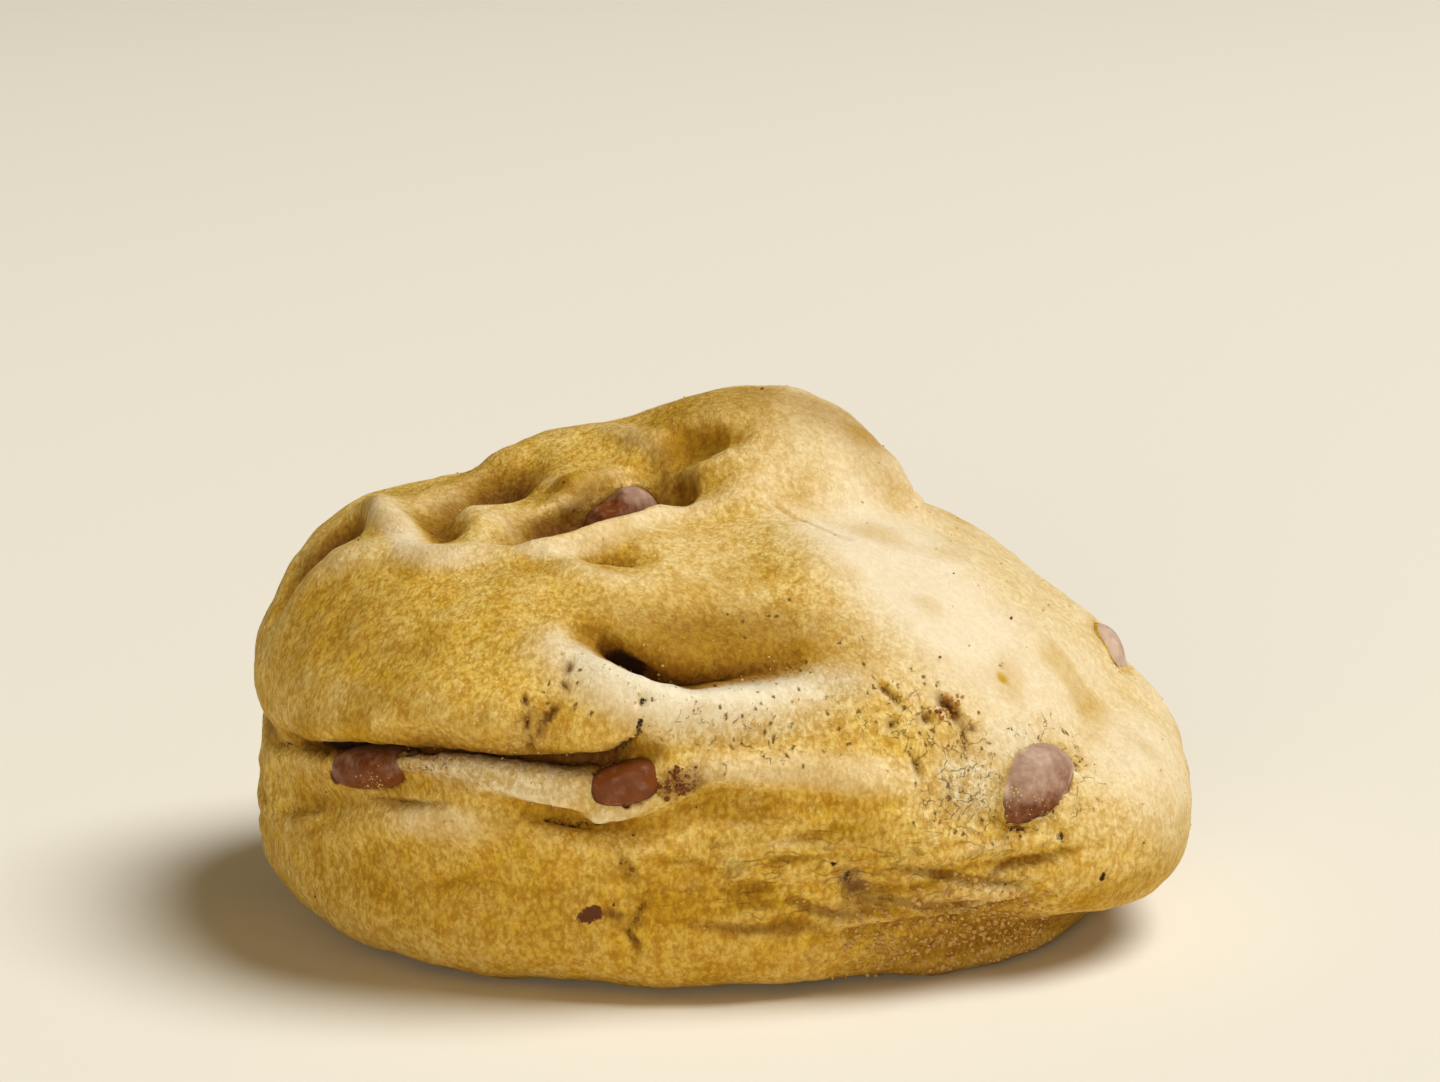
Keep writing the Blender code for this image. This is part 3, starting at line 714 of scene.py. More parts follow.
    "wrinkles_left": Stroke(((330, 860), (450, 890), (560, 890)), 8.0, 0.0, paint={Tone.WRINKLES: 0.4}),
    "left_dent_shade": Stroke(
        ((302, 567), (330, 546), (361, 526)), 3.0, -0.9, 1.5, 0.3, paint={Tone.BROWN: 0.7, Tone.GOLD: 0.6}),
    "left_dent_edge": Stroke(
        ((302, 588), (330, 572), (365, 553)), 2.4, 0.8, 2.0, 0.3, paint={Tone.PALE: 0.25}),
    "bowl_left_shade": Stroke(
        ((462, 488), (490, 492), (520, 494), (540, 488)), 4.5, 0.0, paint={Tone.BROWN: 0.4, Tone.GOLD: 0.6}),
    "bowl_shade": Stroke(
        ((523, 524), (545, 530), (570, 530), (592, 520)), 2.6, -0.8, 1.5, 0.3,
        paint={Tone.BROWN: 0.6, Tone.GOLD: 0.5}),
    "bowl_film": Stroke(
        ((530, 500), (560, 492), (590, 486), (610, 475)), 2.4, 0.0, paint={Tone.GOLD: 0.7, Tone.BROWN: 0.15}),
    "summit_shade": Stroke(
        ((676, 445), (706, 448), (740, 437)), 2.2, -0.7, 1.6, 0.3, paint={Tone.GOLD: 0.6, Tone.BROWN: 0.05}),
    # The summit ridge and the lumps in the bowl are pale partly as a painted highlight.
    "summit_ridge": Stroke(
        ((600, 428), (652, 441), (694, 457), (743, 446)), 2.0, 0.7, 2.0, 0.3, paint={Tone.PALE: 0.3}),
    "bowl_lump_a": Stroke(((548, 485), (574, 483), (594, 477)), 1.8, 0.9, 2.0, 0.3, paint={Tone.PALE: 0.3}),
    "bowl_lump_b": Stroke(((550, 506), (570, 501), (586, 495)), 1.7, 0.9, 2.0, 0.3, paint={Tone.PALE: 0.4}),
    "low_dent_shade": Stroke(((672, 492), (686, 486), (700, 480)), 2.0, 0.0, paint={Tone.BROWN: 0.35}),
    "pores_lip": Stroke(((520, 690), (600, 700), (680, 740)), 4.0, 0.0, paint={Tone.PORES: 0.6}),
    "chip_tint": Stroke(((1040, 784),), 5.2, 0.0, paint={Tone.DUST: 0.3}),
    # Painted shade: dark inside the cracks round the right chip.
    "chip_crack_a": Stroke(((1079, 748), (1083, 760), (1082, 774)), 0.5, -0.4, 1.2, 0.3,
        paint={Tone.DARK: 0.5}, ragged=0.7),
    "chip_crack_b": Stroke(((1060, 830), (1062, 838), (1061, 846)), 0.6, -0.5, 1.2, 0.3,
        paint={Tone.DARK: 0.6}, ragged=0.7),
    "chip_crack_c": Stroke(((1006, 826), (1016, 832), (1030, 833)), 0.5, -0.4, 1.2, 0.3,
        paint={Tone.DARK: 0.5}, ragged=0.8),
    "chip_crack_d": Stroke(((1070, 818), (1079, 806), (1084, 795)), 0.45, -0.4, 1.2, 0.3,
        paint={Tone.DARK: 0.45}, ragged=0.8),
    "fleck_grey": Stroke(((846, 872), (858, 886), (866, 893)), 1.8, -0.3,
        paint={Tone.DUST: 0.25, Tone.BROWN: 0.55, Tone.PORES: 0.8}, ragged=0.8),
    "fleck_grey_core": Stroke(((844, 873), (854, 888)), 1.1, -0.5, paint={Tone.DARK: 0.52}, ragged=0.9),
    "fleck_grey_dot": Stroke(((833, 862), (834, 867)), 0.5, -0.4, paint={Tone.DARK: 0.8}),
    "fleck_red": Stroke(((1101, 877), (1107, 878)), 0.7, -0.4,
        paint={Tone.DARK: 0.8, Tone.CHOCOLATE: 0.9}, ragged=0.4),
    "fleck_brown": Stroke(((577, 922), (590, 915), (604, 910)), 1.4, -0.4,
        paint={Tone.CHOCOLATE: 0.85}, ragged=0.8),
    "fleck_brown_tail": Stroke(((604, 912), (625, 918)), 0.9, -0.1, paint={Tone.BROWN: 0.7}, ragged=0.7),
    "fleck_middle": Stroke(((620, 855), (626, 866), (634, 880)), 1.2, -0.3,
        paint={Tone.CHOCOLATE: 0.45, Tone.BROWN: 0.5}, ragged=0.9),
    "fleck_dark": Stroke(((729, 884),), 0.5, -0.2, paint={Tone.DARK: 0.4}),
    "chip_smear": Stroke(((655, 788), (680, 784), (708, 776)), 2.4, 0.3,
        paint={Tone.CHOCOLATE: 0.44, Tone.BROWN: 0.6}, ragged=0.9),
    "chip_smear_left": Stroke(((390, 766), (430, 764), (470, 762)), 1.6, 0.2,
        paint={Tone.CHOCOLATE: 0.4, Tone.DUST: 0.4}, ragged=0.6),
    "left_chip_side": Stroke(((332, 772), (334, 785)), 1.3, -0.3, paint={Tone.CHOCOLATE: 0.9}, ragged=0.3),
    "knob_gold": Stroke(((670, 410), (700, 402), (745, 396), (775, 415)), 8.0, 0.0,
        paint={Tone.BROWN: 0.18, Tone.GOLD: 0.5}),
    "knob_right": Stroke(
        ((785, 400), (825, 410), (860, 432), (884, 466)), 6.5, 0.0,
        paint={Tone.BROWN: 0.3, Tone.GOLD: 0.4}),
    # Painted highlight: the right slope that faces the key light, painted pale.
    "slope_pale": Stroke(
        ((820, 470), (900, 560), (980, 640), (1070, 690)), 14.0, 0.0, paint={Tone.PALE: 0.95}),
    # Painted highlight: the ridge, the rim and the saddle, pale where they face up into the light.
    "ridge_pale": Stroke(
        ((372, 505), (392, 520), (410, 545), (440, 557), (485, 557)), 2.4, 0.2, paint={Tone.PALE: 0.75}),
    "rim_pale": Stroke(
        ((500, 518), (530, 545), (560, 549), (600, 541), (650, 522), (700, 510)), 2.0, 0.0,
        paint={Tone.PALE: 0.55}),
    "saddle_pale": Stroke(((410, 500), (440, 505), (500, 512)), 3.0, 0.0, paint={Tone.PALE: 0.3}),
    # Painted highlight on the lobe's lit front, and painted shade in gold under the lobe.
    "lobe_pale": Stroke(((1110, 710), (1150, 780)), 10.0, 0.0, paint={Tone.PALE: 0.6}),
    "lobe_under": Stroke(((1060, 905), (1120, 895), (1165, 868)), 3.5, 0.0, paint={Tone.GOLD: 0.6}),
    "left_gold": Stroke(((290, 640), (330, 620), (400, 640)), 8.0, 0.0, paint={Tone.GOLD: 0.5}),
    "low_gold": Stroke(((330, 870), (500, 910), (700, 930), (900, 910)), 8.0, 0.0, paint={Tone.GOLD: 0.45}),
    "spot_a": Stroke(((401, 713), (402, 716)), 0.5, -0.4, paint={Tone.DARK: 0.7}),
    "spot_b": Stroke(((505, 691), (507, 693)), 0.5, -0.3, paint={Tone.DARK: 0.5}),
    "spot_c": Stroke(((378, 684), (379, 686)), 0.4, -0.3, paint={Tone.DARK: 0.4}),
}

# Where the chocolate pieces lie: close to their places in the CAD source, and those that the photograph
# shows moved onto it more exactly. Each has the share of its top that crumb dusts.
CHIPS = {
    "chocolate_fold_left": ChipPlace((-35.0, -28.2, 20.6), (5.2, 2.1, 3.6), 0.8, 12, 2.4, dusted=0.12),
    "chocolate_fold_middle": ChipPlace((-9.5, -38, 21.7), (3.6, 2.1, 3.6), 0.9, 20, 3.2, dusted=0.0),
    "chocolate_right": ChipPlace((30.0, -28.3, 18.5), (6.0, 4.2, 4.0), 1.25, 4, 2.15, dusted=0.5),
    "chocolate_bowl": ChipPlace((-11.2, -5.5, 42), (2.5, 4.0, 3.8), 0.55, 2, 2.5, dusted=0.35),
    "chocolate_far_right": ChipPlace((44, -1.6, 23.3), (4.2, 5.6, 3.2), 0.35, 0, dusted=0.8),
    "chocolate_top_back": ChipPlace((10, 22, 42), (4.6, 4.0, 3.5), 0.9, 20, dusted=0.4),
    "chocolate_back_left": ChipPlace((-22, 31, 27), (4.4, 4.0, 3.6), 1.0, 35, 2.6, dusted=0.3),
    "chocolate_back_fold": ChipPlace((2, 41, 18.5), (4.8, 3.2, 3.8), 1.0, 6, dusted=0.2),
    "chocolate_back_right": ChipPlace((31, 27, 10), (4.2, 4.4, 3.8), 1.3, 50, dusted=0.35),
    "chocolate_left": ChipPlace((-43, 17, 18), (4.0, 3.4, 3.4), 0.7, 15, 2.8, dusted=0.3),
}


@dataclass(frozen=True)
class BakedCrust:
    """Baked wheat dough: a dry matt crust of fine crumb, golden below and paler on top, by real dust and by a
    painted highlight on the lit side, with painted shade in its dents, slits, pores and the gaps between
    crumbs.

    Lengths are in millimetres. A shaking has the size of its swells and its reach, a stretch is along
    each axis, an edge gives the two values between which a pattern changes, and gaps give how likely a
    place must be to carry any of it.
    """

    name: str = "baked_dough_crust"
    golden: str = "#F2C746"
    tan: str = "#FBDD84"
    # Pale is partly a painted highlight where the crust faces the light; gold and brown are partly painted
    # shade in dents and creases; dark is painted shade in slits and cracks; besides the real pale lips,
    # golden bake, browned foot and dark flecks.
    pale: str = "#FBEED8"
    gold: str = "#D2A626"
    brown: str = "#87591E"
    dust: str = "#FBF3E2"
    chocolate: str = "#6A3B20"
    dark: str = "#3B2210"
    gap_shade: str = "#D3BA78"
    hole_shade: str = "#7E5E2A"
    grain_light: str = "#FFFFFC"
    quiet_shade: str = "#F6F3EA"
    mottle_mm: float = 3.2
    mottle_edge: tuple[float, float] = (0.36, 0.64)
    crumb_mm: float = 0.42
    crumb_stretch: tuple[float, float, float] = (1.0, 1.0, 0.7)
    crumb_shaking: tuple[float, float] = (0.6, 0.5)
    crumb_rounding: float = -0.2
    crumb_level: float = 0.12
    crumb_edge: tuple[float, float] = (0.39, 0.61)
    crumb_depth_mm: float = 0.5
    grain_mm: float = 0.8
    grain_share: float = 0.95
    pore_mm: float = 0.95
    pore_stretch: tuple[float, float, float] = (1.0, 1.0, 0.55)
    pore_shaking: tuple[float, float] = (0.55, 0.7)
    pore_edge: tuple[float, float] = (0.08, 0.26)
    pore_strength: float = 0.95
    crack_mm: float = 2.0
    crack_shaking: tuple[float, float] = (1.1, 1.5)
    crack_edge: tuple[float, float] = (0.005, 0.03)
    crack_strength: float = 0.65
    crack_likelihood: float = 0.26
    crack_gaps: tuple[float, float] = (0.70, 0.76)
    crack_run: tuple[float, float] = (1.0, 3.0)
    crease_mm: float = 1.5
    crease_stretch: tuple[float, float, float] = (0.32, 0.32, 1.0)
    crease_shaking: tuple[float, float] = (1.6, 0.8)
    crease_edge: tuple[float, float] = (0.0, 0.045)
    crease_strength: float = 0.42
    crease_likelihood: float = 0.3
    crease_gaps: tuple[float, float] = (0.68, 0.82)
    crease_run: tuple[float, float] = (2.2, 2.0)
    hole_depth: float = -0.6
    broken_edge: tuple[float, float] = (0.38, 0.62)
    chocolate_ragged: float = 1.2
    dark_ragged: float = 1.0
    quiet_share: float = 0.85
    quiet_bump: float = 0.6
    rough_layers: float = 0.75
    roughness: float = 0.78

    def shaken(
        self, material: bpy.types.Material, shaking: tuple[float, float],
        stretch: tuple[float, float, float] = (1.0, 1.0, 1.0),
    ) -> bpy.types.NodeSocket:
        """The piece's own coordinates, shaken about so that a pattern in them isn't regular.

        Args:
            material: the material whose tree gets the nodes.
            shaking: the size of the shaking's swells, and how far it reaches.
            stretch: how closely the pattern is packed along each axis.

        Returns:
            The shaken coordinates.
        """
        length, reach = shaking
        coordinates = add_node(material, "ShaderNodeTexCoord", {}, wanted="Object")
        bent = add_node(
            material, "ShaderNodeTexNoise",
            {"Vector": coordinates, "Scale": 1 / (length * MM), "Detail": 2.0}, wanted="Color")
        moved = add_node(
            material, "ShaderNodeVectorMath", {0: bent, 1: (reach * MM,) * 3, 2: coordinates},
            {"operation": "MULTIPLY_ADD"})
        return add_node(material, "ShaderNodeMapping", {"Vector": moved, "Scale": stretch})

    def broken(self, material: bpy.types.Material, tone: Tone, ragged: float) -> bpy.types.NodeSocket:
        """A painted tone whose edge is broken up along the crumb instead of fading out.

        Args:
            material: the material whose tree gets the nodes.
            tone: the tone.
            ragged: how strongly the crumb breaks its edge.

        Returns:
            The strength of the tone.
        """
        coordinates = add_node(material, "ShaderNodeTexCoord", {}, wanted="Object")
        crumb = add_node(
            material, "ShaderNodeTexNoise",
            {"Vector": coordinates, "Scale": 1 / (self.crumb_mm * MM), "Detail": 4.0,
             "Roughness": self.rough_layers})
        painted = add_node(material, "ShaderNodeAttribute", {}, {"attribute_name": tone.value}, "Fac")
        frayed = add_node(
            material, "ShaderNodeMath", {0: crumb, 1: ragged, 2: painted}, {"operation": "MULTIPLY_ADD"})
        return add_node(
            material, "ShaderNodeMapRange",
            {"Value": frayed, "From Min": self.broken_edge[0] + ragged / 2,
             "From Max": self.broken_edge[1] + ragged / 2}, {"interpolation_type": "SMOOTHSTEP"})

    def here_and_there(
        self, material: bpy.types.Material, pattern: bpy.types.NodeSocket, tone: Tone, likelihood: float,
        gaps: tuple[float, float], run: tuple[float, float],
    ) -> bpy.types.NodeSocket:
        """Breaks a pattern off here and there, and leaves more of it where a tone is painted.

        Args:
            material: the material whose tree gets the nodes.
            pattern: the pattern's strength.
            tone: the tone.
            likelihood: how much the tone adds to a noise.
            gaps: the sums at which the pattern starts and at which it is whole.
            run: the size of the noise's swells, and how many finer layers it has.

        Returns:
            What is left of the pattern.
        """
        length, layers = run
        coordinates = add_node(material, "ShaderNodeTexCoord", {}, wanted="Object")
        swell = add_node(
            material, "ShaderNodeTexNoise",
            {"Vector": coordinates, "Scale": 1 / (length * MM), "Detail": layers,
             "Roughness": self.rough_layers})
        painted = add_node(material, "ShaderNodeAttribute", {}, {"attribute_name": tone.value}, "Fac")
        likely = add_node(
            material, "ShaderNodeMath", {0: painted, 1: likelihood, 2: swell},
            {"operation": "MULTIPLY_ADD"})
        apart = add_node(
            material, "ShaderNodeMapRange", {"Value": likely, "From Min": gaps[0], "From Max": gaps[1]})
        return add_node(material, "ShaderNodeMath", {0: pattern, 1: apart}, {"operation": "MULTIPLY"})

    def crumbs(self, material: bpy.types.Material) -> bpy.types.NodeSocket:
        """The fine crumb of the crust, about 0.4 in the gaps between two crumbs and 0.6 on top of one.

        Args:
            material: the material whose tree gets the nodes.

        Returns:
            The height of the crumb.
        """
        drawn_out = self.shaken(material, self.crumb_shaking, self.crumb_stretch)
        cells = add_node(
            material, "ShaderNodeTexVoronoi", {"Vector": drawn_out, "Scale": 1 / (self.crumb_mm * MM)})
        rounded = add_node(
            material, "ShaderNodeMath", {0: cells, 1: self.crumb_rounding, 2: self.crumb_level},
            {"operation": "MULTIPLY_ADD"})
        grain = add_node(
            material, "ShaderNodeTexNoise",
            {"Vector": drawn_out, "Scale": 1 / (self.grain_mm * MM), "Detail": 5.0,
             "Roughness": self.rough_layers})
        return add_node(
            material, "ShaderNodeMath", {0: grain, 1: self.grain_share, 2: rounded},
            {"operation": "MULTIPLY_ADD"})

    def pores(self, material: bpy.types.Material) -> bpy.types.NodeSocket:
        """Small upright pores, as many of them as the crust is painted with.

        Args:
            material: the material whose tree gets the nodes.

        Returns:
            How deep a pore is, from 0 to 1.
        """
        drawn_out = self.shaken(material, self.pore_shaking, self.pore_stretch)
        cells = add_node(
            material, "ShaderNodeTexVoronoi", {"Vector": drawn_out, "Scale": 1 / (self.pore_mm * MM)})
        hole = add_node(
            material, "ShaderNodeMapRange",
            {"Value": cells, "From Min": self.pore_edge[0], "From Max": self.pore_edge[1],
             "To Min": self.pore_strength, "To Max": 0.0}, {"interpolation_type": "SMOOTHSTEP"})
        painted = add_node(
            material, "ShaderNodeAttribute", {}, {"attribute_name": Tone.PORES.value}, "Fac")
        chosen = add_node(
            material, "ShaderNodeMath", {0: painted, 1: cells.node.outputs["Color"]},
            {"operation": "GREATER_THAN"})
        return add_node(material, "ShaderNodeMath", {0: hole, 1: chosen}, {"operation": "MULTIPLY"})

    def cracks(self, material: bpy.types.Material) -> bpy.types.NodeSocket:
        """Hair-fine cracks between crumbs, broken off here and there.

        Args:
            material: the material whose tree gets the nodes.

        Returns:
            How deep a crack is, from 0 to 1.
        """
        cells = add_node(
            material, "ShaderNodeTexVoronoi",
            {"Vector": self.shaken(material, self.crack_shaking), "Scale": 1 / (self.crack_mm * MM)},
            {"feature": "DISTANCE_TO_EDGE"}, "Distance")
        line = add_node(
            material, "ShaderNodeMapRange",
            {"Value": cells, "From Min": self.crack_edge[0], "From Max": self.crack_edge[1],
             "To Min": self.crack_strength, "To Max": 0.0})
        return self.here_and_there(
            material, line, Tone.CRACKS, self.crack_likelihood, self.crack_gaps, self.crack_run)

    def creases(self, material: bpy.types.Material) -> bpy.types.NodeSocket:
        """Thin wavy creases that run round the slab, as the dough settled in the oven.

        Args:
            material: the material whose tree gets the nodes.

        Returns:
            How deep a crease is, from 0 to 1.
        """
        levelled = self.shaken(material, self.crease_shaking, self.crease_stretch)
        swell = add_node(
            material, "ShaderNodeTexNoise",
            {"Vector": levelled, "Scale": 1 / (self.crease_mm * MM), "Detail": 1.0,
             "Roughness": self.rough_layers})
        off = add_node(material, "ShaderNodeMath", {0: swell, 1: 0.5}, {"operation": "SUBTRACT"})
        beside = add_node(material, "ShaderNodeMath", {0: off}, {"operation": "ABSOLUTE"})
        line = add_node(
            material, "ShaderNodeMapRange",
            {"Value": beside, "From Min": self.crease_edge[0], "From Max": self.crease_edge[1],
             "To Min": self.crease_strength, "To Max": 0.0}, {"interpolation_type": "SMOOTHSTEP"})
        return self.here_and_there(
            material, line, Tone.WRINKLES, self.crease_likelihood, self.crease_gaps, self.crease_run)

    def baked_colour(self, material: bpy.types.Material) -> bpy.types.NodeSocket:
        """The dough's own mottled colour, with the painted tones over it: its real bake and dust, and painted
        highlight and painted shade.

        Args:
            material: the material whose tree gets the nodes.

        Returns:
            The colour.
        """
        coordinates = add_node(material, "ShaderNodeTexCoord", {}, wanted="Object")
        swell = add_node(
            material, "ShaderNodeTexNoise",
            {"Vector": coordinates, "Scale": 1 / (self.mottle_mm * MM), "Detail": 3.0,
             "Roughness": self.rough_layers})
        mottle = add_node(
            material, "ShaderNodeMapRange",
            {"Value": swell, "From Min": self.mottle_edge[0], "From Max": self.mottle_edge[1]})
        colour = add_node(
            material, "ShaderNodeMix", {0: mottle, 6: linear(self.golden), 7: linear(self.tan)},
            {"data_type": "RGBA"}, 2)
        for tone, shade in (
            (Tone.PALE, self.pale),
            (Tone.GOLD, self.gold),
            (Tone.DUST, self.dust),
            (Tone.BROWN, self.brown),
        ):
            painted = add_node(material, "ShaderNodeAttribute", {}, {"attribute_name": tone.value}, "Fac")
            colour = add_node(
                material, "ShaderNodeMix", {0: painted, 6: colour, 7: linear(shade)},
                {"data_type": "RGBA"}, 2)
        return colour

    def build(self) -> bpy.types.Material:
        """Makes the material.

        Returns:
            A Principled material that reads the tones painted on the crust.
        """
        material = bpy.data.materials.new(self.name)
        material.use_nodes = True
        shader = material.node_tree.nodes["Principled BSDF"]
        crumb = self.crumbs(material)
        holes = add_node(
            material, "ShaderNodeMath", {0: self.pores(material), 1: self.cracks(material)},
            {"operation": "MAXIMUM"})
        holes = add_node(
            material, "ShaderNodeMath", {0: holes, 1: self.creases(material)}, {"operation": "MAXIMUM"})
        # Painted shade in the gaps between crumbs, quieter where the crust is painted pale.
        speckle = add_node(
            material, "ShaderNodeMapRange",
            {"Value": crumb, "From Min": self.crumb_edge[0], "From Max": self.crumb_edge[1]})
        pale = add_node(material, "ShaderNodeAttribute", {}, {"attribute_name": Tone.PALE.value}, "Fac")
        quiet = add_node(
            material, "ShaderNodeMath", {0: pale, 1: self.quiet_share}, {"operation": "MULTIPLY"})
        shade = linear(self.gap_shade)
        for over, where in ((self.grain_light, speckle), (self.quiet_shade, quiet)):
            shade = add_node(
                material, "ShaderNodeMix", {0: where, 6: shade, 7: linear(over)}, {"data_type": "RGBA"}, 2)
        colour = add_node(
            material, "ShaderNodeMix", {0: 1.0, 6: self.baked_colour(material), 7: shade},
            {"data_type": "RGBA", "blend_type": "MULTIPLY"}, 2)
        # Painted shade in slits, pores, cracks and creases, with the real chocolate smears and dark flecks.
        for over, where in (
            (self.chocolate, self.broken(material, Tone.CHOCOLATE, self.chocolate_ragged)),
            (self.dark, self.broken(material, Tone.DARK, self.dark_ragged)),
            (self.hole_shade, holes),
        ):
            colour = add_node(
                material, "ShaderNodeMix", {0: where, 6: colour, 7: linear(over)},
                {"data_type": "RGBA"}, 2)
        dug = add_node(
            material, "ShaderNodeMath", {0: holes, 1: self.hole_depth, 2: crumb},
            {"operation": "MULTIPLY_ADD"})
        strong = add_node(
            material, "ShaderNodeMapRange", {"Value": quiet, "To Min": 1.0, "To Max": self.quiet_bump})
        bump = add_node(
            material, "ShaderNodeBump",
            {"Height": dug, "Strength": strong, "Distance": self.crumb_depth_mm * MM})
        material.node_tree.links.new(colour, shader.inputs["Base Color"])
        material.node_tree.links.new(bump, shader.inputs["Normal"])
        shader.inputs["Roughness"].default_value = self.roughness
        shader.inputs["IOR"].default_value = 1.4
        shader.inputs["Specular IOR Level"].default_value = 0.3
        shader.inputs["Subsurface Weight"].default_value = 0.12
        shader.inputs["Subsurface Radius"].default_value = (1.0, 0.55, 0.2)
        shader.inputs["Subsurface Scale"].default_value = 1.2 * MM
        return material


@dataclass(frozen=True)
class MilkChocolate:
    """Milk chocolate, softened in the oven and set again: satin brown, with a film of crumb on it."""

    name: str = "milk_chocolate"
    brown: str = "#57290C"
    light: str = "#86481B"
    film: str = "#CFB3A0"
    flow_mm: float = 2.4
    flow_bend: float = 0.6
    grain_mm: float = 0.7
    grain_depth_mm: float = 0.08
    grain_bump: float = 0.5
    film_grain: float = 0.8
    film_edge: tuple[float, float] = (0.45, 1.55)
    film_roughness: float = 0.8
    roughness: float = 0.44

    def build(self) -> bpy.types.Material:
        """Makes the material.

        Returns:
            A Principled material that reads the dust painted on the chocolate.
        """
        material = bpy.data.materials.new(self.name)
        material.use_nodes = True
        shader = material.node_tree.nodes["Principled BSDF"]
        coordinates = add_node(material, "ShaderNodeTexCoord", {}, wanted="Object")
        flow = add_node(
            material, "ShaderNodeTexNoise",
            {"Vector": coordinates, "Scale": 1 / (self.flow_mm * MM), "Detail": 2.0,
             "Distortion": self.flow_bend})
        grain = add_node(
            material, "ShaderNodeTexNoise",
            {"Vector": coordinates, "Scale": 1 / (self.grain_mm * MM), "Detail": 3.0})
        body = add_node(
            material, "ShaderNodeMix", {0: flow, 6: linear(self.brown), 7: linear(self.light)},
            {"data_type": "RGBA"}, 2)
        dust = add_node(material, "ShaderNodeAttribute", {}, {"attribute_name": Tone.DUST.value}, "Fac")
        patchy = add_node(
            material, "ShaderNodeMath", {0: grain, 1: self.film_grain, 2: dust},
            {"operation": "MULTIPLY_ADD"})
        film = add_node(
            material, "ShaderNodeMapRange",
            {"Value": patchy, "From Min": self.film_edge[0], "From Max": self.film_edge[1]})
        colour = add_node(
            material, "ShaderNodeMix", {0: film, 6: body, 7: linear(self.film)},
            {"data_type": "RGBA"}, 2)
        matt = add_node(
            material, "ShaderNodeMapRange",
            {"Value": film, "To Min": self.roughness, "To Max": self.film_roughness})
        bump = add_node(
            material, "ShaderNodeBump",
            {"Height": grain, "Strength": self.grain_bump, "Distance": self.grain_depth_mm * MM})
        material.node_tree.links.new(colour, shader.inputs["Base Color"])
        material.node_tree.links.new(matt, shader.inputs["Roughness"])
        material.node_tree.links.new(bump, shader.inputs["Normal"])
        shader.inputs["IOR"].default_value = 1.5
        shader.inputs["Specular IOR Level"].default_value = 0.2
        shader.inputs["Subsurface Weight"].default_value = 0.05
        shader.inputs["Subsurface Radius"].default_value = (1.0, 0.4, 0.2)
        shader.inputs["Subsurface Scale"].default_value = 0.6 * MM
        return material


def make_cube_sphere(name: str, cuts: tuple[int, ...]) -> bpy.types.Object:
    """Adds a cube and subdivides its sides evenly in edit mode, ready to be laid out as a ball.

    Args:
        name: the new object's name.
        cuts: how many cuts each round of subdividing makes.

    Returns:
        The cube, 2 across and centred on the origin.
    """
    bpy.ops.object.select_all(action="DESELECT")
    bpy.ops.mesh.primitive_cube_add(size=2.0, location=(0, 0, 0))
    made = bpy.context.object
    made.name = name
    made.data.name = name
    bpy.ops.object.mode_set(mode="EDIT")
    bpy.ops.mesh.select_all(action="SELECT")
    for number in cuts:
        bpy.ops.mesh.subdivide(number_cuts=number)
    bpy.ops.object.mode_set(mode="OBJECT")
    return made


def ball_directions(cube: bpy.types.Object) -> np.ndarray:
    """The unit directions of a subdivided cube's vertices, spread evenly over a ball."""
    corners = np.empty(len(cube.data.vertices) * 3)
    cube.data.vertices.foreach_get("co", corners)
    spread = np.tan(corners.reshape(-1, 3) * math.pi / 4)
    return spread / np.linalg.norm(spread, axis=1)[:, None]


def write_points(made: bpy.types.Object, points: np.ndarray) -> None:
    """Puts an object's vertices at points given in dough coordinates, and shades it smooth."""
    made.data.vertices.foreach_set("co", ((points - MIDDLE) * MM).ravel())
    made.data.shade_smooth()
    made.data.update()


def vertex_normals(made: bpy.types.Object) -> np.ndarray:
    """The unit normals of an object's vertices."""
    normals = np.empty(len(made.data.vertices) * 3)
    made.data.vertex_normals.foreach_get("vector", normals)
    return normals.reshape(-1, 3)


def surface_tree(*pieces: bpy.types.Object) -> BVHTree:
    """A search tree over the faces of one or more pieces, in metres."""
    corners, faces = [], []
    for made in pieces:
        faces += [[number + len(corners) for number in face.vertices] for face in made.data.polygons]
        corners += [vertex.co for vertex in made.data.vertices]
    return BVHTree.FromPolygons(corners, faces)


def write_tone(made: bpy.types.Object, tone: Tone, values: np.ndarray) -> None:
    """Paints one number for each vertex into the attribute of a tone."""
    layer = made.data.attributes.new(tone.value, "FLOAT", "POINT")
    layer.data.foreach_set("value", np.clip(values, 0.0, 1.0))


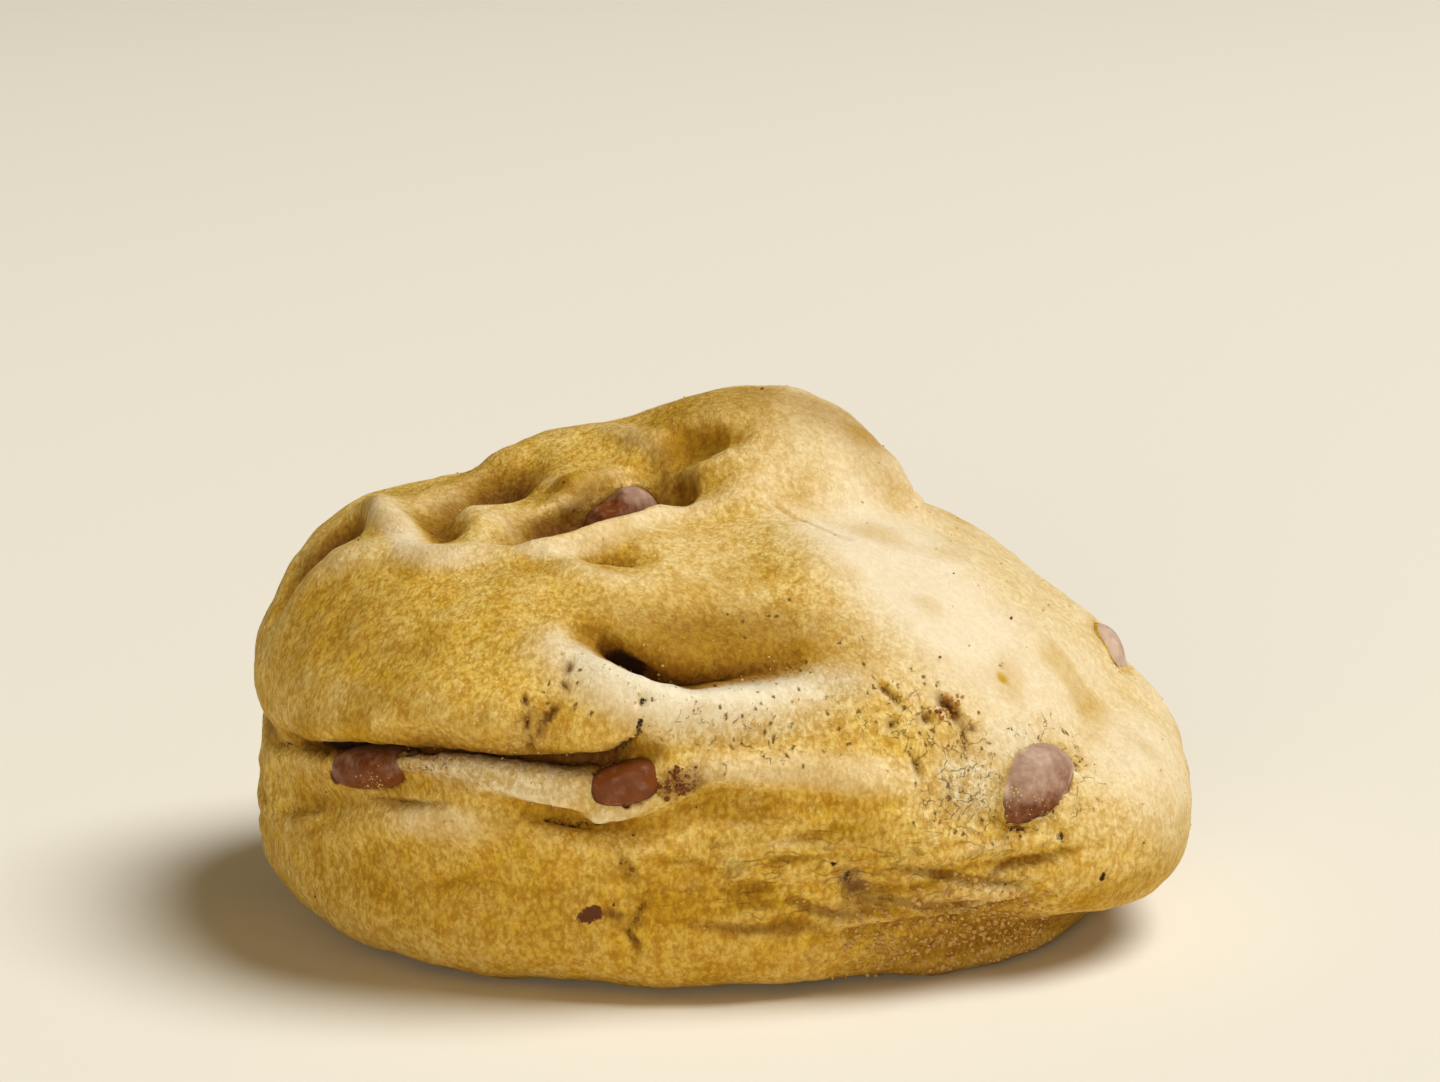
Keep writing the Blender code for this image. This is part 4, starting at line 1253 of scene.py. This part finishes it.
@dataclass(frozen=True)
class FormShadeAndBakeColour:
    """Colour by the dough's form: painted highlight where it faces the key light and where it stands out,
    painted shade in its dents and creases, golden towards the floor and in random blotches, and the oven's
    real browning of its foot and underside.

    Each pair of numbers gives where a cause starts and where it is at its full strength: lengths in
    millimetres, and for the facing the cosine of the angle to the lit side.
    """

    lit_side: tuple[float, float, float] = (0.76, 0.0, 0.65)
    facing: tuple[float, float] = (0.25, 0.95)
    rightward: tuple[float, float] = (-18.0, 12.0)
    left_share: float = 0.45
    dent_depths: tuple[float, float] = (0.3, 2.6)
    raised_by: tuple[float, float] = (0.0, 0.35)
    sunk_by: tuple[float, float] = (0.0, 0.6)
    creased_by: tuple[float, float] = (0.5, 1.2)
    low_heights: tuple[float, float] = (12.0, 2.0)
    foot_heights: tuple[float, float] = (1.8, 0.2)
    blotched: tuple[float, float] = (0.0, 0.5)
    blotch: Swell = Swell(6.5, 1.0, 61.0)
    broad_rounds: int = 60
    pale_facing: float = 0.6
    pale_raised: float = 0.12
    sunk_keeps: float = 0.8
    gold_sunk: float = 0.5
    gold_low: float = 0.2
    gold_dented: float = 0.75
    gold_blotched: float = 0.45
    brown_dented: float = 0.35
    brown_foot: float = 0.6
    brown_creased: float = 0.25
    underside: float = 0.9

    def add(
        self, points: np.ndarray, normals: np.ndarray, broad: np.ndarray, height: np.ndarray,
        paint: dict[Tone, np.ndarray],
    ) -> None:
        """Adds the tones by the crust's form: painted highlight and painted shade, and the oven's real
        browning.

        Args:
            points: the crust's points in dough coordinates.
            normals: its outward unit normals there.
            broad: how far each point lies from the crust's broad form.
            height: how far each point was raised from the plain body, in millimetres.
            paint: the tones so far, which are changed.
        """
        side = np.array(self.lit_side) / np.linalg.norm(self.lit_side)
        rightward = smooth_step(*self.rightward, points[:, 0])
        sunny = smooth_step(*self.facing, normals @ side)
        sunny *= self.left_share + (1.0 - self.left_share) * rightward
        proud = (broad * normals).sum(axis=1)
        dented = smooth_step(*self.dent_depths, -height)
        sunk = smooth_step(*self.sunk_by, -proud)
        low = smooth_step(*self.low_heights, points[:, 2])
        blotched = smooth_step(*self.blotched, self.blotch.over(points))
        # Painted highlight where the crust faces the key light and where it stands out, kept out of its sunk
        # and dented places.
        painted_highlight = self.pale_facing * sunny + self.pale_raised * smooth_step(*self.raised_by, proud)
        painted_highlight *= (1.0 - self.sunk_keeps * sunk) * (1.0 - dented)
        paint[Tone.PALE] += (1.0 - paint[Tone.PALE]) * painted_highlight
        # Painted shade in gold in sunk and dented places, golden towards the floor, and random golden
        # blotches.
        paint[Tone.GOLD] += self.gold_sunk * sunk + self.gold_low * low
        paint[Tone.GOLD] += self.gold_dented * dented + self.gold_blotched * blotched
        # The foot and underside are browned as the oven browns them; the brown in dents and creases is
        # painted shade.
        paint[Tone.BROWN] += self.brown_foot * smooth_step(*self.foot_heights, points[:, 2])
        paint[Tone.BROWN] += self.brown_dented * dented
        paint[Tone.BROWN] += self.brown_creased * smooth_step(*self.creased_by, -proud)
        paint[Tone.BROWN][points[:, 2] < BASE_SKIN] = self.underside


@dataclass
class Crust:
    """The whole dough as one closed skin, with every fold, dent, crack and socket worked in."""

    body: DoughBody
    view: PhotoView
    finish: BakedCrust
    name: str = "dough_crust"
    cuts: tuple[int, ...] = (62, 1)
    finer_towards: tuple[float, float, float] = (-0.02, -0.40, 0.14)
    socket_gap: float = 0.04
    softening: int = 3
    broad_swells: tuple[Swell, ...] = (Swell(11.0, 0.7), Swell(4.5, 0.3, (31.0, 7.0, 53.0)))
    fine_swells: tuple[Swell, ...] = (Swell(2.1, 0.10, 11.0), Swell(0.95, 0.05, 17.0))
    wrinkle: Swell = Swell((6.0, 6.0, 1.5), 0.75, 41.0)
    # Painted shade in the troughs of the wrinkles, in gold and brown.
    wrinkle_gold: tuple[float, float, float] = (0.0375, 0.3, 0.7)
    wrinkle_brown: tuple[float, float, float] = (0.1125, 0.375, 0.3)
    rag: Swell = Swell(0.9, 0.7, 5.0)
    end_strength: float = 0.35
    paint_spread: float = 1.3
    flat: float = 0.05
    # Painted highlight and painted shade by the crust's form, beside the oven's real browning of the foot and
    # underside.
    oven: FormShadeAndBakeColour = FormShadeAndBakeColour()

    def lay(self, stroke: Stroke, curve: Curve, points: np.ndarray) -> tuple[np.ndarray, np.ndarray]:
        """Works out how strongly a stroke acts on each point.

        Args:
            stroke: the stroke.
            curve: its curve on the crust.
            points: the crust's points.

        Returns:
            The numbers of the points that it reaches, and its strength there from 0 to 1.
        """
        near = curve.near(points, stroke.width)
        distance, place = curve.distance(points[near])
        width = stroke.width
        if stroke.ragged:
            width = width * (1.0 + stroke.ragged * self.rag.over(points[near]))
        across = np.clip(1.0 - (distance / width) ** 2, 0.0, 1.0) ** stroke.power
        along = np.clip(np.minimum(place, 1.0 - place) / stroke.fade, 0.0, 1.0)
        if len(stroke.path) == 1:
            along = 1.0
        return near, across * (self.end_strength + (1.0 - self.end_strength) * along)

    def work_in(
        self, strokes: list[tuple[Stroke, Curve]], points: np.ndarray, normals: np.ndarray,
        paint: dict[Tone, np.ndarray],
    ) -> tuple[np.ndarray, np.ndarray]:
        """Works strokes into the crust.

        Args:
            strokes: the strokes, each with its curve on the crust.
            points: the crust's points before.
            normals: its outward unit normals there; not used.
            paint: the tones so far, to which those of the strokes are added.

        Returns:
            How far each point is raised along its normal, and how far it is dragged aside.
        """
        height = np.zeros(len(points))
        drag = np.zeros_like(points)
        for stroke, curve in strokes:
            near, strength = self.lay(stroke, curve, points)
            height[near] += stroke.amount * strength
            drag[near] += strength[:, None] * np.array(stroke.drag)
            for tone, amount in stroke.paint.items():
                reached = paint[tone][near]
                spread = np.clip(strength * self.paint_spread, 0.0, 1.0)
                paint[tone][near] = reached + (1.0 - reached) * amount * spread
        return height, drag

    def averaged(self, made: bpy.types.Object, points: np.ndarray, rounds: int) -> np.ndarray:
        """Draws each point half way to the mean of its neighbours, over and over.

        Args:
            made: the crust, whose edges say which points are neighbours.
            points: one point for each of its vertices.
            rounds: how often they are drawn.

        Returns:
            The points drawn together.
        """
        edges = np.empty(len(made.data.edges) * 2, dtype=np.int64)
        made.data.edges.foreach_get("vertices", edges)
        start, end = edges.reshape(-1, 2).T
        count = len(points)
        neighbours = np.bincount(start, minlength=count) + np.bincount(end, minlength=count)
        smooth = points.copy()
        for _ in range(rounds):
            total = np.stack(
                [
                    np.bincount(start, smooth[end, axis], count)
                    + np.bincount(end, smooth[start, axis], count)
                    for axis in range(3)
                ],
                axis=1,
            )
            smooth = (smooth + total / neighbours[:, None]) / 2
        return smooth

    def build(self, chips: dict[str, Chocolate]) -> bpy.types.Object:
        """Models the crust.

        Args:
            chips: the frame of each chocolate piece, a little larger than the piece.

        Returns:
            The crust, with its tones painted on.
        """
        made = make_cube_sphere(self.name, self.cuts)
        directions = ball_directions(made) + np.array(self.finer_towards)
        directions /= np.linalg.norm(directions, axis=1)[:, None]
        base = self.body.surface(directions)
        normals = self.body.normals(base)
        paint = {tone: np.zeros(len(base)) for tone in Tone}
        forms = [(stroke, Curve.on_body(self.body, stroke.path)) for stroke in FORM_STROKES.values()]
        height, drag = self.work_in(forms, base, normals, paint)
        height += sum(swell.over(base) for swell in self.broad_swells)
        formed = self.averaged(made, base + normals * height[:, None] + drag, self.softening)
        formed = self.settled(base, formed)
        write_points(made, formed)
        tree = surface_tree(made)
        traced = [(stroke, Curve.traced(self.view, stroke.path, tree)) for stroke in FINE_STROKES.values()]
        fine, drag = self.work_in([pair for pair in traced if pair[1]], formed, normals, paint)
        wrinkle = paint[Tone.WRINKLES] * self.wrinkle.over(base)
        fine += sum(swell.over(base) for swell in self.fine_swells) + wrinkle
        # Painted shade: gold and brown where the wrinkles sink.
        for tone, (low, high, most) in ((Tone.GOLD, self.wrinkle_gold), (Tone.BROWN, self.wrinkle_brown)):
            paint[tone] += most * smooth_step(low, high, -wrinkle)
        worked = self.settled(base, formed + vertex_normals(made) * fine[:, None] + drag)
        for chip in chips.values():
            worked = chip.make_room(worked)
        write_points(made, worked)
        # Painted highlight and painted shade by the crust's form, with the oven's browning of the foot.
        broad = worked - self.averaged(made, worked, self.oven.broad_rounds)
        self.oven.add(worked, vertex_normals(made), broad, height, paint)
        for tone, values in paint.items():
            write_tone(made, tone, values)
        made.data.materials.append(self.finish.build())
        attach(made, "root")
        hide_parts("dough")
        return made

    def settled(self, base: np.ndarray, worked: np.ndarray) -> np.ndarray:
        """The worked points with the base pressed flat, where the plain body is flat too."""
        worked[:, 2] = np.maximum(worked[:, 2], 0.0)
        worked[base[:, 2] < self.flat, 2] = 0.0
        return worked


@dataclass
class ChocolatePieces:
    """The chocolate pieces that show in the crust, each one a softened chip with a dusted rim."""

    body: DoughBody
    finish: MilkChocolate
    cuts: tuple[int, ...] = (23,)
    hollow_length: float = 3.2
    hollow_depth: float = 0.8
    hollow_shift: float = 3.0
    grain: Swell = Swell(0.9, 0.05)
    bare: tuple[float, float] = (0.70, 0.95)
    rim_reach: tuple[float, float] = (0.5, 0.1)
    rim_dust: tuple[float, float] = (0.25, 0.5)
    streak: Swell = Swell(2.6, 1.0, 23.0)
    streaked: tuple[float, float] = (-0.15, 0.5)
    # The film's rise towards the top is partly a painted highlight on each piece.
    upward: tuple[float, float] = (-0.3, 0.9)
    film: tuple[float, float, float] = (0.15, 0.45, 1.0)

    def frames(self, grown: float) -> dict[str, Chocolate]:
        """The frame of each piece, grown by a gap."""
        return {name: Chocolate.at(chip, self.body, grown) for name, chip in CHIPS.items()}

    def build(self, crust: bpy.types.Object) -> list[bpy.types.Object]:
        """Models every piece.

        Args:
            crust: the crust that the pieces lie in.

        Returns:
            The pieces, in the order of their names here.
        """
        material = self.finish.build()
        tree = surface_tree(crust)
        pieces = []
        for number, (name, frame) in enumerate(self.frames(0.0).items()):
            made = make_cube_sphere(name + "_piece", self.cuts)
            shares = ball_directions(made)
            shares /= frame.level(shares)[:, None]
            points = frame.placed(shares)
            hollow = Swell(self.hollow_length, self.hollow_depth, self.hollow_shift * number)
            dent = np.abs(hollow.over(points)) + self.grain.height + self.grain.over(points)
            dent *= smooth_step(*self.bare, shares[:, 2])
            points = frame.placed(shares * (1.0 - dent[:, None] / frame.radii))
            write_points(made, points)
            write_tone(made, Tone.DUST, self.dust(points, shares[:, 1], tree, CHIPS[name].dusted))
            made.data.materials.append(material)
            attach(made, "root")
            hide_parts(name)
            pieces.append(made)
        return pieces

    def dust(self, points: np.ndarray, rising: np.ndarray, tree: BVHTree, over: float) -> np.ndarray:
        """How thickly crumb lies on a piece: a film that thickens to the rim and in streaks, and that
        thickens upwards as real crumb and as a painted highlight on the piece's top.

        Args:
            points: the piece's points in dough coordinates.
            rising: how far up the piece each of them is, from -1 to 1.
            tree: a search tree over the crust.
            over: how dusted the piece is.

        Returns:
            The thickness at each point, from 0 to 1.
        """
        places = (points - MIDDLE) * MM
        gaps = np.array([tree.find_nearest(place)[3] / MM for place in places.tolist()])
        streaks = smooth_step(*self.streaked, self.streak.over(points))
        at_rim = (self.rim_dust[0] + self.rim_dust[1] * over) * smooth_step(*self.rim_reach, gaps)
        everywhere, in_streaks, top_highlight_film = self.film
        film = everywhere + in_streaks * streaks + top_highlight_film * smooth_step(*self.upward, rising)
        return np.clip(at_rim * streaks + over * film, 0.0, 1.0)


@dataclass(frozen=True)
class CrumbGrain:
    """Loose crumb of the same baked dough, a little paler than the crust where it has broken."""

    name: str = "baked_crumb"
    golden: str = "#C79A3C"
    pale: str = "#E6CB8C"
    brown: str = "#A06A20"
    mottle_mm: float = 1.4
    roughness: float = 0.85

    def build(self) -> bpy.types.Material:
        """Makes the material."""
        material = bpy.data.materials.new(self.name)
        material.use_nodes = True
        shader = material.node_tree.nodes["Principled BSDF"]
        coordinates = add_node(material, "ShaderNodeTexCoord", {}, wanted="Object")
        mottle = add_node(
            material, "ShaderNodeTexNoise",
            {"Vector": coordinates, "Scale": 1 / (self.mottle_mm * MM), "Detail": 3.0})
        colour = add_node(
            material, "ShaderNodeMix", {0: mottle, 6: linear(self.golden), 7: linear(self.pale)},
            {"data_type": "RGBA"}, 2)
        tint = add_node(material, "ShaderNodeAttribute", {}, {"attribute_name": Tone.BROWN.value}, "Fac")
        browned = add_node(
            material, "ShaderNodeMix", {0: tint, 6: colour, 7: linear(self.brown)},
            {"data_type": "RGBA"}, 2)
        material.node_tree.links.new(browned, shader.inputs["Base Color"])
        shader.inputs["Roughness"].default_value = self.roughness
        shader.inputs["Specular IOR Level"].default_value = 0.3
        return material


@dataclass(frozen=True)
class StudioPaper:
    """Plain matt paper in warm off-white, swept out as the studio floor."""

    name: str = "studio_paper"
    white: str = "#F1ECE1"
    roughness: float = 0.9

    def build(self) -> bpy.types.Material:
        """Makes the material."""
        material = bpy.data.materials.new(self.name)
        material.use_nodes = True
        shader = material.node_tree.nodes["Principled BSDF"]
        shader.inputs["Base Color"].default_value = linear(self.white)
        shader.inputs["Roughness"].default_value = self.roughness
        shader.inputs["Specular IOR Level"].default_value = 0.2
        return material


@dataclass(frozen=True)
class GrainPatch:
    """A place on the crust where loose grains lie, by a pixel of the photograph, and how many."""

    pixel: tuple[float, float]
    spread: float
    count: int
    size: tuple[float, float] = (0.2, 0.5)
    brown: float = 0.0


# Where chocolate crumbs lie thickly: beside the middle chip of the fold, and at the crumbly dark place.
SHAVING_PATCHES = (
    GrainPatch((676, 784), 22, 26, (0.12, 0.34)),
    GrainPatch((945, 708), 14, 14, (0.1, 0.25)),
)


@dataclass
class CrumbGrains:
    """Loose crumb that clings to the crust, every grain a small crooked lump of real mesh."""

    view: PhotoView
    finish: CrumbGrain | MilkChocolate
    name: str = "crumb_grains"
    slot: str = "baked_dough"
    seed: int = 7
    corners: int = 1
    everywhere: int = 600
    size: tuple[float, float] = (0.07, 0.17)
    sunk: float = 0.55
    lowest: float = 0.4
    stretched: tuple[float, float] = (0.55, 1.2)
    crooked: tuple[float, float] = (0.8, 1.25)
    browned: tuple[float, float] = (0.0, 0.3)
    browned_in_patch: tuple[float, float] = (0.4, 1.0)
    patches: tuple[GrainPatch, ...] = (
        GrainPatch((960, 940), 70, 420, (0.08, 0.32), 0.8),
        GrainPatch((880, 948), 60, 260, (0.08, 0.28), 0.8),
        GrainPatch((1025, 922), 40, 180, (0.08, 0.28), 0.8),
        GrainPatch((950, 708), 14, 22, (0.12, 0.32), 1.0),
        GrainPatch((640, 690), 50, 16, (0.08, 0.18), 0.1),
        GrainPatch((780, 700), 70, 26, (0.08, 0.18), 0.1),
        GrainPatch((960, 790), 40, 50, (0.08, 0.2), 0.1),
        GrainPatch((530, 718), 16, 16, (0.08, 0.22), 0.8),
        GrainPatch((1008, 792), 16, 30, (0.05, 0.12), 0.1),
        GrainPatch((374, 786), 16, 40, (0.05, 0.12), 0.2),
        GrainPatch((668, 788), 12, 24, (0.06, 0.16), 0.8),
        GrainPatch((1036, 822), 40, 40, (0.05, 0.11), 0.2),
        GrainPatch((520, 768), 70, 50, (0.06, 0.16), 0.1),
    )

    def lumps(self) -> tuple[np.ndarray, np.ndarray]:
        """One crooked little ball's vertices and triangles."""
        bpy.ops.object.select_all(action="DESELECT")
        bpy.ops.mesh.primitive_ico_sphere_add(subdivisions=self.corners, radius=1.0, location=(0, 0, 0))
        ball = bpy.context.object
        points = np.array([vertex.co for vertex in ball.data.vertices])
        faces = np.array([face.vertices for face in ball.data.polygons])
        bpy.data.objects.remove(ball)
        return points, faces

    def places(self, crust: bpy.types.Object, tree: BVHTree, random: np.random.Generator) -> list[tuple]:
        """Chooses where grains lie.

        Args:
            crust: the crust that they lie on.
            tree: a search tree over it and the chocolate pieces.
            random: the source of chance.

        Returns:
            For each grain its place and the crust's normal there in metres, its size in millimetres
            and how browned it is.
        """
        chosen = []
        faces = crust.data.polygons
        areas = np.empty(len(faces))
        faces.foreach_get("area", areas)
        for number in random.choice(len(faces), self.everywhere, p=areas / areas.sum()):
            face = faces[int(number)]
            if face.center.z > self.lowest * MM:
                size = random.uniform(*self.size)
                chosen.append((face.center, face.normal, size, random.uniform(*self.browned)))
        start = Vector(self.view.place() * MM)
        for patch in self.patches:
            pixels = np.array(patch.pixel) + random.normal(0.0, patch.spread / 2, (patch.count, 2))
            for ray in self.view.rays(pixels.tolist()):
                place, normal, _, _ = tree.ray_cast(start, Vector(ray))
                if place is not None:
                    size = random.uniform(*patch.size)
                    browned = patch.brown * random.uniform(*self.browned_in_patch)
                    chosen.append((place, normal, size, browned))
        return chosen

    def build(self, crust: bpy.types.Object, pieces: list[bpy.types.Object]) -> bpy.types.Object:
        """Models the grains as one piece.

        Args:
            crust: the crust that they lie on.
            pieces: the chocolate pieces, over whose rims some of them lie.

        Returns:
            The piece that holds every grain.
        """
        random = np.random.default_rng(self.seed)
        tree = surface_tree(crust, *pieces)
        ball, faces = self.lumps()
        points, triangles, brown = [], [], []
        for place, normal, size, browned in self.places(crust, tree, random):
            shape = ball * random.uniform(*self.stretched, 3)
            shape = shape * random.uniform(*self.crooked, (len(ball), 1))
            turn = Euler(random.uniform(0, 2 * math.pi, 3).tolist()).to_matrix()
            middle = np.array(place) + np.array(normal) * size * (1 - self.sunk) * 0.5 * MM
            triangles.append(faces + len(ball) * len(points))
            points.append(shape @ np.array(turn) * size * MM + middle)
            brown.append(np.full(len(ball), browned))
        mesh = bpy.data.meshes.new(self.name)
        mesh.from_pydata(np.concatenate(points).tolist(), [], np.concatenate(triangles).tolist())
        made = bpy.data.objects.new(self.name, mesh)
        bpy.context.scene.collection.objects.link(made)
        write_tone(made, Tone.BROWN, np.concatenate(brown))
        made.data.materials.append(self.finish.build())
        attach(made, "root")
        return made


@dataclass
class Studio:
    """The plain floor and the soft light that the photograph was taken in."""

    paper: StudioPaper
    floor_radius: float = 3.0
    floor_corners: int = 96
    key_at: tuple[float, float, float] = (2.4, -0.1, 4.2)
    key_size: float = 3.0
    key_power: float = 240.0
    key_colour: tuple[float, float, float] = (1.0, 1.0, 0.96)
    card_at: tuple[float, float, float] = (-0.5, -3.0, 0.45)
    card_size: float = 1.6
    card_power: float = 46.0
    card_colour: tuple[float, float, float] = (1.0, 0.93, 0.74)
    fill_colour: tuple[float, float, float] = (1.0, 0.70, 0.28)
    fill_strength: float = 0.1
    aim: tuple[float, float, float] = (0.0, 0.0, 0.02)

    def build(self) -> None:
        """Makes the floor, the light and the surroundings."""
        bpy.ops.object.select_all(action="DESELECT")
        bpy.ops.mesh.primitive_circle_add(
            vertices=self.floor_corners, radius=self.floor_radius, fill_type="NGON", location=(0, 0, 0))
        floor = bpy.context.object
        floor.name = "studio_floor"
        floor.data.materials.append(self.paper.build())
        self.hang("key_light", self.key_at, self.key_size, self.key_power, self.key_colour)
        self.hang("bounce_card", self.card_at, self.card_size, self.card_power, self.card_colour)
        world = bpy.data.worlds.new("studio_surroundings")
        world.use_nodes = True
        glow = world.node_tree.nodes["Background"]
        glow.inputs["Color"].default_value = (*self.fill_colour, 1.0)
        glow.inputs["Strength"].default_value = self.fill_strength
        bpy.context.scene.world = world
        bpy.context.scene.view_settings.view_transform = "Standard"

    def hang(
        self, name: str, at: tuple[float, float, float], size: float, power: float,
        colour: tuple[float, float, float],
    ) -> None:
        """Hangs one round soft light that faces the cookie.

        Args:
            name: the lamp's name.
            at: where it hangs, in metres.
            size: its width in metres.
            power: its power in watts.
            colour: its colour.
        """
        light = bpy.data.lights.new(name, "AREA")
        light.shape = "DISK"
        light.size = size
        light.energy = power
        light.color = colour
        lamp = bpy.data.objects.new(name, light)
        bpy.context.scene.collection.objects.link(lamp)
        lamp.location = at
        lamp.rotation_mode = "QUATERNION"
        lamp.rotation_quaternion = (Vector(self.aim) - Vector(at)).to_track_quat("-Z", "Y")


def main() -> None:
    """Builds the cookie, then the studio round it."""
    logging.basicConfig(level=logging.INFO, format="%(name)s: %(message)s")
    body = DoughBody()
    view = PhotoView()
    chocolate = ChocolatePieces(body, MilkChocolate())
    dough = Crust(body, view, BakedCrust())
    crust = dough.build(chocolate.frames(dough.socket_gap))
    LOG.info("crust of %d faces", len(crust.data.polygons))
    pieces = chocolate.build(crust)
    LOG.info("%d chocolate pieces", len(pieces))
    grains = CrumbGrains(view, CrumbGrain()).build(crust, pieces)
    LOG.info("crumb grains of %d faces", len(grains.data.polygons))
    shavings = CrumbGrains(
        view, chocolate.finish, "chocolate_crumbs", "milk_chocolate", seed=11, everywhere=60,
        size=(0.1, 0.22), patches=SHAVING_PATCHES).build(crust, pieces)
    LOG.info("chocolate crumbs of %d faces", len(shavings.data.polygons))
    Studio(StudioPaper()).build()
    view.build()


if __name__ == "__main__":
    main()
